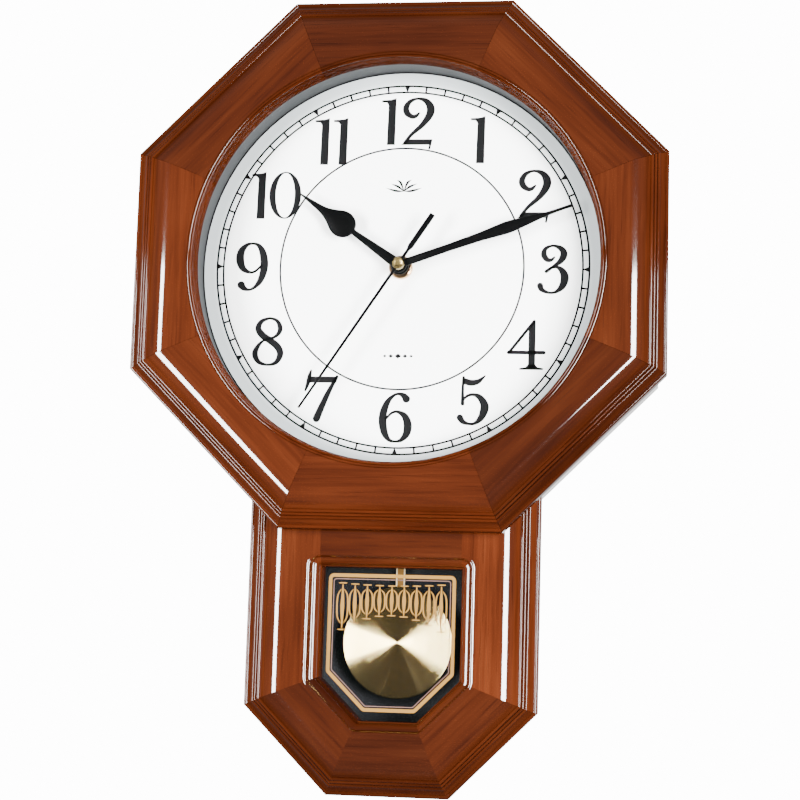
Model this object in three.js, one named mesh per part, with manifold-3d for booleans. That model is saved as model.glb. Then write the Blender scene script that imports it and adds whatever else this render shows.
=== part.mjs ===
// Octagonal drop-dial pendulum wall clock, in millimetres.
// The wall is the plane y = 0, the front faces -Y and +Z is up.
// The origin is the hook that the clock hangs on.

import * as THREE from "three";
import { mergeVertices } from "three/addons/utils/BufferGeometryUtils.js";
import Module from "manifold-3d";

const wasm = await Module();
wasm.setup();

// ---- Driving dimensions -------------------------------------------------------------------------

const DIAL_CENTRE_Z = -120; // below the hook
const GAP = 0.3; // kept between neighbouring pieces
const SIDE_TURN = Math.PI / 4; // between two sides of the octagon

const OCTAGON_RADIUS = 160; // centre to the middle of a side
const HEAD_RIM_Y = -72; // front edge of the head's outer rim
const MOULDING_EDGE = 8; // thickness of the rim behind that edge
const MOULDING_RISE = 14; // height of the flat field above the rim
const OPENING_RADIUS = 120.7;
const OPENING_LIP_Y = -77.5;
const OPENING_BEVEL = 3.5;
const GLASS_SEAT_RADIUS = 126.5;

const CASE_INSET = 5; // case side behind the edge of the moulding
const CASE_WALL = 12;
const BOARD_LEDGE = 6; // width of the ledge that the backboard rests on
const BOARD_FRONT_Y = -6;
const BOARD_BACK_Y = -3;

const DROP_RIM_Y = -47.5;
const DROP_HALF_WIDTH = 87.2;
const DROP_BOTTOM_Z = -434.7;
const DROP_CHAMFER = 51;
const WINDOW_HALF_WIDTH = 42;
const WINDOW_TOP_Z = -301;
const WINDOW_BOTTOM_Z = -391;
const WINDOW_CHAMFER = 24.8;
const WINDOW_LIP_Y = -52; // back of the wood in front of the window glass
const LINER_OFFSET = 4.5; // chamber wall outside the window opening
const LINER_WALL = 1.5;
const LINER_BACK_Y = -8;

const GLASS_THICKNESS = 2;
const GLASS_FRONT_Y = -74;
const DIAL_FRONT_Y = -53;
const DIAL_THICKNESS = 2;
const DIAL_RADIUS = 136;
const SPACER_INNER_RADIUS = 122.4;

const MOVEMENT_HALF_WIDTH = 30;
const MOVEMENT_TOP = 28; // above the dial centre
const MOVEMENT_BOTTOM = -37;
const MOVEMENT_FRONT_Y = -50;
const MOVEMENT_SPLIT_Y = -36;
const MOVEMENT_BACK_Y = -22;
const MOVEMENT_WALL = 1.5;
const BRIDGE_Y = [-36, -35];
const BUSH_RADIUS = 4;
const NUT_RADIUS = 7.2;

const ARBOR_DISTANCE = 13.6; // centre arbor to the third and intermediate arbors
const MOTION_DISTANCE = 10; // centre arbor to the motion wheel, and on to the setting arbor
const ROTOR_DISTANCE = 8; // intermediate arbor to the rotor
const THIRD_ANGLE = Math.PI / 2; // angles run clockwise from 12 o'clock
const INTERMEDIATE_ANGLE = -Math.PI / 2;
const MOTION_ANGLE = Math.PI / 4;
const ROTOR_ANGLE = -Math.PI / 4;

const HOUR_HAND_ANGLE = THREE.MathUtils.degToRad(305.5);
const MINUTE_HAND_ANGLE = THREE.MathUtils.degToRad(70.6);
const SECOND_HAND_ANGLE = THREE.MathUtils.degToRad(213.3);

const PENDULUM_PIVOT = 12; // above the dial centre
const PENDULUM_LENGTH = 236.5; // pivot to the middle of the bob
const BOB_RADIUS = 34;

const ROUND = 96; // segments of the large circles
const SMALL_ROUND = 24;

// Front and back of each wheel along the arbors.
const LEVEL = {
  hour: [-47.6, -46.4],
  motion: [-44.6, -43.2],
  centre: [-41.4, -40.2],
  third: [-38.6, -37.4],
  second: [-33.6, -32.4],
  intermediate: [-30.8, -29.6],
  magnet: [-28.6, -25],
};

// Section of the outer moulding: distance in from the rim, height above it.
const MOULDING = [[0, 0], [3.3, 6.6], [7.1, 5.8], [9.5, 7.4], [13, 13.2], [18.5, MOULDING_RISE]];

// ---- Finishes -----------------------------------------------------------------------------------

const finish = (color, roughness, metalness) => () =>
  new THREE.MeshStandardMaterial({ color, roughness, metalness });
const wood = finish(0x6b2c16, 0.2, 0);
const board = finish(0x8a6a48, 0.8, 0);
const white = finish(0xf3f4f2, 0.6, 0);
const grey = finish(0x8d8f8c, 0.6, 0);
const black = finish(0x141416, 0.5, 0);
const glass = finish(0xe8eeee, 0.05, 0);
const brass = finish(0xc9a24a, 0.25, 1);
const steel = finish(0x9a9da0, 0.35, 1);
const rubber = finish(0x202022, 0.9, 0);
const nylon = finish(0xe9e4d2, 0.55, 0);
const copper = finish(0xb4652e, 0.35, 1);
const circuit = finish(0x1f5a36, 0.5, 0);
const label = finish(0x35508c, 0.4, 0);

// ---- Solids -------------------------------------------------------------------------------------

// Turns a closed three.js geometry into a solid that can be joined and cut.
function solidOf(geometry) {
  geometry.deleteAttribute("normal");
  geometry.deleteAttribute("uv");
  const merged = mergeVertices(geometry);
  const { array } = merged.index;
  const triangles = [];
  for (let i = 0; i < array.length; i += 3) {
    const [a, b, c] = array.subarray(i, i + 3);
    if (a !== b && b !== c && c !== a) triangles.push(a, b, c);
  }
  return new wasm.Manifold(
    new wasm.Mesh({
      numProp: 3,
      vertProperties: merged.attributes.position.array,
      triVerts: new Uint32Array(triangles),
    }),
  );
}

// A flat outline in the x-z plane, given thickness from yFront to yBack.
function slab(outline, yFront, yBack) {
  const depth = yBack - yFront;
  const geometry = new THREE.ExtrudeGeometry(polygon(outline), { depth, bevelEnabled: false });
  return solidOf(geometry.rotateX(Math.PI / 2).translate(0, yBack, 0));
}

function polygon(points) {
  return new THREE.Shape(points.map(([x, z]) => new THREE.Vector2(x, z)));
}

function block([x0, x1], [y0, y1], [z0, z1]) {
  return slab([[x0, z0], [x1, z0], [x1, z1], [x0, z1]], y0, y1);
}

// A solid of revolution about a Y axis; the profile runs towards +Y on its outer side.
function turned(profile, segments = SMALL_ROUND, x = 0, z = 0) {
  const points = profile.map(([radius, y]) => new THREE.Vector2(radius, y));
  return solidOf(new THREE.LatheGeometry(points, segments).translate(x, 0, z));
}

function cylinder(radius, [y0, y1], segments = SMALL_ROUND, x = 0, z = 0) {
  return turned([[0, y0], [radius, y0], [radius, y1], [0, y1]], segments, x, z);
}

function ring(inner, outer, [y0, y1], segments = SMALL_ROUND, x = 0, z = 0) {
  const profile = [[inner, y0], [outer, y0], [outer, y1], [inner, y1], [inner, y0]];
  return turned(profile, segments, x, z);
}

// A round bar along X.
function crossBar(radius, [x0, x1], y, z, segments = SMALL_ROUND) {
  const geometry = new THREE.CylinderGeometry(radius, radius, x1 - x0, segments);
  return solidOf(geometry.rotateZ(Math.PI / 2).translate((x0 + x1) / 2, y, z));
}

function join(...solids) {
  return solids.reduce((whole, piece) => whole.add(piece));
}

function cut(solid, ...cutters) {
  return cutters.reduce((left, cutter) => left.subtract(cutter), solid);
}

function part(parent, name, solid, material) {
  const { vertProperties, triVerts } = solid.getMesh();
  const geometry = new THREE.BufferGeometry();
  geometry.setAttribute("position", new THREE.BufferAttribute(new Float32Array(vertProperties), 3));
  geometry.setIndex(new THREE.BufferAttribute(new Uint32Array(triVerts), 1));
  geometry.computeVertexNormals();
  const mesh = new THREE.Mesh(geometry, material());
  mesh.name = name;
  parent.add(mesh);
  return mesh;
}

const clock = new THREE.Group();
const head = new THREE.Group(); // everything placed from the dial centre
head.position.z = DIAL_CENTRE_Z;
clock.add(head);

// ---- Outlines -----------------------------------------------------------------------------------

function octagon(radius, centreZ = 0) {
  const corner = radius / Math.cos(SIDE_TURN / 2);
  return Array.from({ length: 8 }, (_, i) => {
    const angle = (i + 0.5) * SIDE_TURN;
    return [corner * Math.sin(angle), centreZ + corner * Math.cos(angle)];
  });
}

// A tall outline with the two lower corners cut at 45 degrees, moved outwards by offset.
function chamferedOutline(halfWidth, top, bottom, chamfer, offset) {
  const x = halfWidth + offset;
  const low = bottom - offset;
  const leg = chamfer + offset * (2 - Math.SQRT2);
  return [[-x, top], [x, top], [x, low + leg], [x - leg, low], [-x + leg, low], [-x, low + leg]];
}

function windowOutline(offset) {
  const top = WINDOW_TOP_Z + offset;
  return chamferedOutline(WINDOW_HALF_WIDTH, top, WINDOW_BOTTOM_Z, WINDOW_CHAMFER, offset);
}

function dropOutline(offset) {
  const top = DIAL_CENTRE_Z - OCTAGON_RADIUS / 2;
  return chamferedOutline(DROP_HALF_WIDTH, top, DROP_BOTTOM_Z, DROP_CHAMFER, offset);
}

// ---- Wooden frames ------------------------------------------------------------------------------

// A moulded rail cut to a plan of four corners, clockwise, the first two of which end its outer edge.
function mouldedRail(plan, rimY) {
  const [end, start] = plan.map(([x, z]) => new THREE.Vector3(x, 0, z));
  const along = end.clone().sub(start);
  const length = along.length();
  along.normalize();
  const forward = new THREE.Vector3(0, -1, 0);
  const inward = along.clone().cross(forward).negate();
  const depth = OCTAGON_RADIUS / 2;
  const section = [[0, -MOULDING_EDGE], ...MOULDING, [depth, MOULDING_RISE], [depth, -MOULDING_EDGE]];
  const geometry = new THREE.ExtrudeGeometry(polygon(section), { depth: length, bevelEnabled: false });
  const place = new THREE.Matrix4().makeBasis(inward, forward, along);
  place.setPosition(start.x, rimY, start.z);
  geometry.applyMatrix4(place);
  return solidOf(geometry).intersect(slab(plan, rimY - 2 * MOULDING_RISE, rimY + 2 * MOULDING_EDGE));
}

function buildBezel() {
  const [x, z] = octagon(OCTAGON_RADIUS)[0];
  const plan = [[-x, z], [x, z], [GAP, 0], [-GAP, 0]];
  const rail = mouldedRail(shrunk(plan, GAP / 2), HEAD_RIM_Y);
  const fieldY = HEAD_RIM_Y - MOULDING_RISE;
  const opening = turned(
    [
      [0, fieldY - 1],
      [OPENING_RADIUS + OPENING_BEVEL, fieldY - 1],
      [OPENING_RADIUS + OPENING_BEVEL, fieldY + 1],
      [OPENING_RADIUS, OPENING_LIP_Y],
      [OPENING_RADIUS, -1],
      [0, -1],
    ],
    ROUND,
  );
  const seat = cylinder(GLASS_SEAT_RADIUS, [GLASS_FRONT_Y, -1], ROUND);
  const shaped = cut(rail, opening, seat);
  const names = [
    "top", "upper_right", "right", "lower_right", "bottom", "lower_left", "left", "upper_left",
  ];
  names.forEach((name, i) => {
    part(head, `bezel_rail_${name}`, shaped, wood).rotation.y = i * SIDE_TURN;
  });
}

function buildDropFrame() {
  const outer = dropOutline(0);
  const inner = windowOutline(0);
  const joint = GAP / 2;
  const seat = slab(windowOutline(LINER_OFFSET + LINER_WALL + GAP), WINDOW_LIP_Y, 0);
  const headCase = slab(octagon(OCTAGON_RADIUS - CASE_INSET + GAP, DIAL_CENTRE_Z), -100, 0);
  const railTop = [inner[0], inner[1]];
  const stileTop = outer[0][1];
  const x = WINDOW_HALF_WIDTH;
  const plans = {
    drop_stile_right: [outer[1], outer[2], inner[2], [x, stileTop]],
    drop_rail_lower_right: [outer[2], outer[3], inner[3], inner[2]],
    drop_rail_bottom: [outer[3], outer[4], inner[4], inner[3]],
    drop_rail_lower_left: [outer[4], outer[5], inner[5], inner[4]],
    drop_stile_left: [outer[5], outer[0], [-x, stileTop], inner[5]],
  };
  for (const [name, plan] of Object.entries(plans)) {
    const rail = mouldedRail(shrunk(plan, joint), DROP_RIM_Y);
    part(clock, name, cut(rail, seat, headCase), wood);
  }
  const fieldY = DROP_RIM_Y - MOULDING_RISE;
  const topRail = block(
    [railTop[0][0] + joint, railTop[1][0] - joint],
    [fieldY, DROP_RIM_Y + MOULDING_EDGE],
    [WINDOW_TOP_Z, DIAL_CENTRE_Z - OCTAGON_RADIUS / 2],
  );
  part(clock, "drop_rail_top", cut(topRail, seat, headCase), wood);
}

// Pulls the two ends of a rail's plan in along the rail, so that the mitres keep a gap.
function shrunk([a, b, c, d], amount) {
  const length = Math.hypot(b[0] - a[0], b[1] - a[1]);
  const step = [(b[0] - a[0]) / length * amount, (b[1] - a[1]) / length * amount];
  const move = ([x, z], sign) => [x + sign * step[0], z + sign * step[1]];
  return [move(a, 1), move(b, -1), move(c, -1), move(d, 1)];
}

// ---- Case and boards ----------------------------------------------------------------------------

function buildCase() {
  const outside = OCTAGON_RADIUS - CASE_INSET;
  const inside = outside - CASE_WALL;
  const caseFront = HEAD_RIM_Y + MOULDING_EDGE;
  const rodPassage = block([-24, 24], [-28, BOARD_FRONT_Y], [-outside - 1, -inside + 1]);
  const screwPlaces = [1, 3, 5, 7].map((i) => polar(inside + BOARD_LEDGE * 0.4, i * SIDE_TURN));
  const screwHoles = screwPlaces.map(([x, z]) => cylinder(2 + GAP, [-15, 1], 12, x, z));
  const headCase = cut(
    slab(octagon(outside), caseFront, 0),
    slab(octagon(inside), caseFront - 1, 1),
    slab(octagon(inside + BOARD_LEDGE), BOARD_FRONT_Y, 1),
    rodPassage,
    ...screwHoles,
  );
  part(head, "head_case", headCase, wood);

  const headBlock = slab(octagon(outside + GAP, DIAL_CENTRE_Z), -100, 1);
  const dropFront = DROP_RIM_Y + MOULDING_EDGE;
  const dropCase = cut(
    slab(dropOutline(-CASE_INSET), dropFront, 0),
    slab(dropOutline(-CASE_INSET - CASE_WALL), dropFront - 1, 1),
    slab(dropOutline(-CASE_INSET - CASE_WALL + BOARD_LEDGE), BOARD_FRONT_Y, 1),
    headBlock,
  );
  // The two cheeks and the bottom are glued up as one part below the head.
  part(clock, "drop_case", dropCase, wood);

  const boardY = [BOARD_FRONT_Y, BOARD_BACK_Y];
  const through = [BOARD_FRONT_Y - 4, 1];
  const boardRadius = inside + BOARD_LEDGE - GAP;
  const keyhole = block([-9, 9], through, [-DIAL_CENTRE_Z - 12, -DIAL_CENTRE_Z + 5]);
  const access = block([-36, 36], through, [MOVEMENT_BOTTOM - 5, MOVEMENT_TOP + 6]);
  const headBoard = cut(slab(octagon(boardRadius), ...boardY), keyhole, access, ...screwHoles);
  part(head, "head_backboard", headBoard, board);
  screwPlaces.forEach(([x, z], i) => part(head, `backboard_screw_${i + 1}`, screw(x, z), steel));

  const boardEdge = -CASE_INSET - CASE_WALL + BOARD_LEDGE - GAP;
  part(clock, "drop_backboard", cut(slab(dropOutline(boardEdge), ...boardY), headBlock), board);
}

// A pan-head screw driven forwards through a board's back face.
function screw(x, z) {
  const shank = 2;
  const headRadius = 3.2;
  return turned(
    [
      [0, BOARD_BACK_Y - 10],
      [shank, BOARD_BACK_Y - 8.5],
      [shank, BOARD_BACK_Y],
      [headRadius, BOARD_BACK_Y],
      [headRadius - 0.6, BOARD_BACK_Y + 1.2],
      [headRadius - 2, BOARD_BACK_Y + 1.6],
      [0, BOARD_BACK_Y + 1.6],
    ],
    12,
    x,
    z,
  );
}

function buildHanger() {
  const plateY = [BOARD_BACK_Y, BOARD_BACK_Y + 1.2];
  const outline = [[-20, -15], [20, -15], [20, 4], [10, 9], [-10, 9], [-20, 4]];
  const entryRadius = 4.6;
  const entryZ = -7;
  const slotRadius = 2.3;
  const through = [plateY[0] - 1, plateY[1] + 1];
  const entry = cylinder(entryRadius, through, SMALL_ROUND, 0, entryZ);
  const slot = join(
    block([-slotRadius, slotRadius], through, [entryZ, 0]),
    cylinder(slotRadius, through, SMALL_ROUND),
  );
  const screwX = 15;
  const screwZ = -4;
  const shank = 2;
  const holes = [-1, 1].map((side) => cylinder(shank + GAP, through, 12, side * screwX, screwZ));
  part(clock, "hanger_plate", cut(slab(outline, ...plateY), entry, slot, ...holes), steel);
  [["left", -1], ["right", 1]].forEach(([name, side]) => {
    const [x, z] = [side * screwX, screwZ];
    const fastener = join(
      cylinder(shank, [BOARD_BACK_Y + 0.1, BOARD_BACK_Y + 1.3], 12, x, z),
      cylinder(3.4, [BOARD_BACK_Y + 1.3, BOARD_BACK_Y + 2.6], 12, x, z),
    );
    part(clock, `hanger_screw_${name}`, fastener, steel);
    const padX = side * (DROP_HALF_WIDTH - CASE_INSET - CASE_WALL - 12);
    const padZ = DROP_BOTTOM_Z + DROP_CHAMFER;
    const padProfile = [[0, BOARD_BACK_Y], [6, BOARD_BACK_Y], [5, 0], [0, 0]];
    part(clock, `wall_pad_${name}`, turned(padProfile, SMALL_ROUND, padX, padZ), rubber);
  });
}

// ---- Dial, glasses and pendulum chamber ---------------------------------------------------------

function buildDial() {
  const glassY = [GLASS_FRONT_Y, GLASS_FRONT_Y + GLASS_THICKNESS];
  part(head, "dial_glass", cylinder(GLASS_SEAT_RADIUS - GAP, glassY, ROUND), glass);
  const spacer = ring(SPACER_INNER_RADIUS, GLASS_SEAT_RADIUS - GAP, [glassY[1], DIAL_FRONT_Y], ROUND);
  part(head, "dial_spacer_ring", spacer, grey);
  const dialBack = DIAL_FRONT_Y + DIAL_THICKNESS;
  const plate = ring(BUSH_RADIUS + GAP, DIAL_RADIUS, [DIAL_FRONT_Y, dialBack], ROUND);
  part(head, "dial_plate", plate, white);

  // A spring clip at each side hooks behind the dial and is fixed to the back of the bezel.
  const clipFront = HEAD_RIM_Y + MOULDING_EDGE;
  const halfHeight = 7;
  const sheet = 1.2;
  const heel = DIAL_RADIUS + 1;
  [["left", -1], ["right", 1]].forEach(([name, side]) => {
    const outline = [
      [heel, clipFront], [heel + 5, clipFront], [heel + 5, clipFront + sheet],
      [heel + sheet, clipFront + sheet], [heel + sheet, dialBack + sheet],
      [DIAL_RADIUS - 8, dialBack + sheet], [DIAL_RADIUS - 8, dialBack], [heel, dialBack],
    ];
    const geometry = new THREE.ExtrudeGeometry(polygon(outline), {
      depth: 2 * halfHeight,
      bevelEnabled: false,
    });
    geometry.translate(0, 0, -halfHeight);
    if (side < 0) geometry.rotateY(Math.PI);
    part(head, `dial_clip_${name}`, solidOf(geometry), steel);
  });
}

function buildChamber() {
  const outside = LINER_OFFSET + LINER_WALL;
  const glassY = [WINDOW_LIP_Y, WINDOW_LIP_Y + GLASS_THICKNESS];
  part(clock, "window_glass", slab(windowOutline(outside), ...glassY), glass);
  const rodSlot = block([-24, 24], [-26, LINER_BACK_Y], [WINDOW_TOP_Z, WINDOW_TOP_Z + 10]);
  const liner = cut(
    slab(windowOutline(outside), glassY[1], LINER_BACK_Y + LINER_WALL),
    slab(windowOutline(LINER_OFFSET), glassY[1] - 1, LINER_BACK_Y),
    rodSlot,
  );
  part(clock, "chamber_liner", liner, black);
}

// ---- Going train --------------------------------------------------------------------------------

// Teeth as fractions of the module and of the pitch, slim enough to turn freely in mesh.
const WHEEL_TOOTH = { rise: 0.75, fall: 0.95, root: 0.52, tip: 0.2 };
const PINION_TOOTH = { rise: 0.62, fall: 1, root: 0.5, tip: 0.2 };

function gear(teeth, module, tooth, phase, [y0, y1], [x, z] = [0, 0]) {
  const pitch = 2 * Math.PI / teeth;
  const pitchRadius = module * teeth / 2;
  const rootRadius = pitchRadius - tooth.fall * module;
  const tipRadius = pitchRadius + tooth.rise * module;
  const outline = [];
  for (let i = 0; i < teeth; i += 1) {
    const middle = phase + i * pitch;
    const flank = [
      [rootRadius, -tooth.root], [tipRadius, -tooth.tip], [tipRadius, tooth.tip], [rootRadius, tooth.root],
    ];
    for (const [radius, share] of flank) {
      const angle = middle + share * pitch / 2;
      outline.push([x + radius * Math.sin(angle), z + radius * Math.cos(angle)]);
    }
  }
  return slab(outline, y0, y1);
}

// Phase of a gear that meshes with a driver lying in the opposite direction of angle.
function meshPhase(driverPhase, driverTeeth, teeth, angle) {
  return angle + Math.PI - (driverTeeth * (driverPhase - angle) + Math.PI) / teeth;
}

function polar(distance, angle, [x, z] = [0, 0]) {
  return [x + distance * Math.sin(angle), z + distance * Math.cos(angle)];
}

const thirdPlace = polar(ARBOR_DISTANCE, THIRD_ANGLE);
const intermediatePlace = polar(ARBOR_DISTANCE, INTERMEDIATE_ANGLE);
const rotorPlace = polar(ROTOR_DISTANCE, ROTOR_ANGLE, intermediatePlace);
const motionPlace = polar(MOTION_DISTANCE, MOTION_ANGLE);
const settingPlace = polar(2 * MOTION_DISTANCE, MOTION_ANGLE);

const TRAIN_MODULE = 0.4;
const CENTRE_MODULE = 2 * ARBOR_DISTANCE / (64 + 8);
const MOTION_MODULE = 0.5;
const PIVOT_RADIUS = 0.6;
const ARBOR_RADIUS = 0.8;
const PIPE_RADIUS = 1.9;
const PIPE_BORE = 1.2;
const HOUR_PIPE_RADIUS = 2.7;
const HOUR_PIPE_BORE = 2.2;

function buildTrain() {
  // The pipe carries the minute hand. It slips in the centre wheel when the hands are set.
  const centreWheel = gear(64, CENTRE_MODULE, WHEEL_TOOTH, 0, LEVEL.centre);
  const wheelBore = cylinder(PIPE_RADIUS + GAP, [-50, -30], SMALL_ROUND);
  part(head, "centre_wheel", cut(centreWheel, wheelBore), brass);
  const pipe = join(
    gear(10, MOTION_MODULE, PINION_TOOTH, 0, [LEVEL.motion[0] - 0.4, LEVEL.centre[0] - GAP]),
    cylinder(PIPE_RADIUS, [-63.9, LEVEL.centre[1] + 0.5], SMALL_ROUND),
  );
  part(head, "centre_pipe", cut(pipe, cylinder(PIPE_BORE, [-70, -30], SMALL_ROUND)), brass);

  const motionPhase = meshPhase(0, 10, 30, MOTION_ANGLE);
  const motionWheel = join(
    gear(30, MOTION_MODULE, WHEEL_TOOTH, motionPhase, LEVEL.motion, motionPlace),
    gear(8, MOTION_MODULE, PINION_TOOTH, 0, [LEVEL.hour[0] - 0.4, LEVEL.motion[0]], motionPlace),
  );
  const postHole = cylinder(ARBOR_RADIUS + GAP, [-50, -40], 12, ...motionPlace);
  part(head, "motion_wheel", cut(motionWheel, postHole), nylon);

  const hourPhase = meshPhase(0, 8, 32, MOTION_ANGLE + Math.PI);
  const hourWheel = join(
    gear(32, MOTION_MODULE, WHEEL_TOOTH, hourPhase, LEVEL.hour),
    cylinder(HOUR_PIPE_RADIUS, [-61.2, LEVEL.hour[1]], SMALL_ROUND),
  );
  const hourBore = cylinder(HOUR_PIPE_BORE, [-70, -40], SMALL_ROUND);
  part(head, "hour_wheel", cut(hourWheel, hourBore), brass);

  const settingPhase = meshPhase(motionPhase, 30, 10, MOTION_ANGLE);
  const settingY = [LEVEL.motion[0] - 0.4, LEVEL.motion[1] + 0.4];
  const fluting = { rise: 0.4, fall: 0.4, root: 0.6, tip: 0.5 };
  const setting = join(
    gear(10, MOTION_MODULE, PINION_TOOTH, settingPhase, settingY, settingPlace),
    cylinder(ARBOR_RADIUS, [-49, -19], 12, ...settingPlace),
    gear(18, 0.66, fluting, 0, [-21, -16], settingPlace),
  );
  part(head, "setting_knob", setting, nylon);

  const thirdPhase = meshPhase(0, 64, 8, THIRD_ANGLE);
  const thirdPinionY = [LEVEL.centre[0] - 0.4, LEVEL.third[0]];
  const thirdWheel = join(
    gear(60, TRAIN_MODULE, WHEEL_TOOTH, 0, LEVEL.third, thirdPlace),
    gear(8, CENTRE_MODULE, PINION_TOOTH, thirdPhase, thirdPinionY, thirdPlace),
    cylinder(PIVOT_RADIUS, [-49, -35.1], 12, ...thirdPlace),
  );
  part(head, "third_wheel", thirdWheel, nylon);

  const secondPhase = meshPhase(0, 60, 8, THIRD_ANGLE + Math.PI);
  const secondWheel = join(
    gear(60, TRAIN_MODULE, WHEEL_TOOTH, 0, LEVEL.second),
    gear(8, TRAIN_MODULE, PINION_TOOTH, secondPhase, [LEVEL.third[0] - 0.4, LEVEL.third[1] + 0.4]),
    cylinder(ARBOR_RADIUS, [-66.9, -23], 12),
  );
  part(head, "second_wheel", secondWheel, nylon);

  const intermediatePhase = meshPhase(0, 60, 8, INTERMEDIATE_ANGLE);
  const intermediatePinionY = [LEVEL.second[0] - 0.4, LEVEL.intermediate[0]];
  const intermediate = join(
    gear(32, TRAIN_MODULE, WHEEL_TOOTH, 0, LEVEL.intermediate, intermediatePlace),
    gear(8, TRAIN_MODULE, PINION_TOOTH, intermediatePhase, intermediatePinionY, intermediatePlace),
    cylinder(PIVOT_RADIUS, [-35.9, -23], 12, ...intermediatePlace),
  );
  part(head, "intermediate_wheel", intermediate, nylon);

  const rotorPhase = meshPhase(0, 32, 8, ROTOR_ANGLE);
  const rotorPinionY = [LEVEL.intermediate[0] - 0.4, LEVEL.magnet[0]];
  const rotor = join(
    gear(8, TRAIN_MODULE, PINION_TOOTH, rotorPhase, rotorPinionY, rotorPlace),
    cylinder(3, LEVEL.magnet, SMALL_ROUND, ...rotorPlace),
    cylinder(PIVOT_RADIUS, [-35.9, -23], 12, ...rotorPlace),
  );
  part(head, "rotor", rotor, steel);
}

// ---- Movement -----------------------------------------------------------------------------------

function buildMovement() {
  const width = [-MOVEMENT_HALF_WIDTH, MOVEMENT_HALF_WIDTH];
  const height = [MOVEMENT_BOTTOM, MOVEMENT_TOP];
  const innerWidth = [width[0] + MOVEMENT_WALL, width[1] - MOVEMENT_WALL];
  const innerHeight = [height[0] + MOVEMENT_WALL, height[1] - MOVEMENT_WALL];
  const frontWall = MOVEMENT_FRONT_Y + MOVEMENT_WALL;
  const backWall = MOVEMENT_BACK_Y - MOVEMENT_WALL;

  const frontShell = cut(
    block(width, [MOVEMENT_FRONT_Y, MOVEMENT_SPLIT_Y], height),
    block(innerWidth, [frontWall, MOVEMENT_SPLIT_Y + 1], innerHeight),
  );
  const front = cut(
    join(
      frontShell,
      cylinder(BUSH_RADIUS, [-58, MOVEMENT_FRONT_Y + 1], SMALL_ROUND),
      cylinder(ARBOR_RADIUS, [frontWall - 0.5, LEVEL.motion[1] + 0.6], 12, ...motionPlace),
    ),
    cylinder(HOUR_PIPE_RADIUS + GAP, [-60, -40], SMALL_ROUND),
    cylinder(PIVOT_RADIUS + GAP, [-49.3, -45], 12, ...thirdPlace),
    cylinder(ARBOR_RADIUS + GAP, [-49.3, -45], 12, ...settingPlace),
  );
  part(head, "movement_case_front", front, black);

  const bridge = cut(
    block([-27, 27], BRIDGE_Y, [-13, 24]),
    cylinder(ARBOR_RADIUS + GAP, [-40, -30], 12),
    cylinder(ARBOR_RADIUS + GAP, [-40, -30], 12, ...settingPlace),
    cylinder(PIVOT_RADIUS + GAP, [-40, -30], 12, ...thirdPlace),
    cylinder(PIVOT_RADIUS + GAP, [-40, -30], 12, ...intermediatePlace),
    cylinder(PIVOT_RADIUS + GAP, [-40, -30], 12, ...rotorPlace),
  );
  part(head, "train_bridge", bridge, nylon);

  const batteryZ = -26;
  const pivotZ = PENDULUM_PIVOT;
  const backShell = cut(
    block(width, [MOVEMENT_SPLIT_Y, MOVEMENT_BACK_Y], height),
    block(innerWidth, [MOVEMENT_SPLIT_Y - 1, backWall], innerHeight),
  );
  const dividingWall = block(innerWidth, [MOVEMENT_SPLIT_Y, backWall + 0.5], [-17.5, -16]);
  const posts = [[-25, 10], [-5, 10], [5, -10], [23, 4]].map(([x, z]) =>
    cylinder(1.5, [-26, backWall + 0.5], 12, x, z),
  );
  const back = cut(
    join(backShell, dividingWall, ...posts, cylinder(1.6, [MOVEMENT_BACK_Y - 0.5, -10], 16, 0, pivotZ)),
    block([-26.5, 26.5], [-25, -20], [batteryZ - 8.2, batteryZ + 8.2]),
    cylinder(ARBOR_RADIUS + GAP, [-30, -20], 12, ...settingPlace),
    cylinder(ARBOR_RADIUS + GAP, [-30, -22.7], 12),
    cylinder(PIVOT_RADIUS + GAP, [-30, -22.7], 12, ...intermediatePlace),
    cylinder(PIVOT_RADIUS + GAP, [-30, -22.7], 12, ...rotorPlace),
  );
  part(head, "movement_case_back", back, black);

  const stator = cut(
    block([-27, -3], [-27.2, -26], [0, 14]),
    cylinder(3.6, [-30, -20], SMALL_ROUND, ...rotorPlace),
    cylinder(1.6, [-30, -20], 12, ...intermediatePlace),
  );
  part(head, "stator", stator, steel);
  part(head, "drive_coil", crossBar(3.2, [-25, -5], -27.5, 19), copper);
  part(head, "circuit_board", block([2.5, 26], [-27.2, -26], [-13, 7]), circuit);
  part(head, "quartz_crystal", crossBar(1.5, [6, 13], -28.7, -4, 16), steel);

  const batteryY = -31;
  const cell = join(
    crossBar(7.1, [-24.8, 24], batteryY, batteryZ, SMALL_ROUND),
    crossBar(2.7, [23, 25.2], batteryY, batteryZ, 16),
  );
  part(head, "battery", cell, label);
  part(head, "battery_contact_positive", block([25.5, 26.1], [-35.5, -26.5], [-30.5, -21.5]), steel);
  const spring = new THREE.Vector3(-28.2, batteryY, batteryZ);
  part(head, "battery_contact_negative", springContact(spring), steel);

  part(head, "rubber_washer", ring(BUSH_RADIUS + GAP, 12, [-51, MOVEMENT_FRONT_Y]), rubber);
  const nutFront = DIAL_FRONT_Y - 3.2;
  const nutBore = BUSH_RADIUS + GAP;
  const nutProfile = [
    [nutBore, nutFront], [NUT_RADIUS - 0.9, nutFront], [NUT_RADIUS, nutFront + 0.9],
    [NUT_RADIUS, DIAL_FRONT_Y], [nutBore, DIAL_FRONT_Y], [nutBore, nutFront],
  ];
  part(head, "bush_nut", turned(nutProfile, 36), brass);
}

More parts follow.
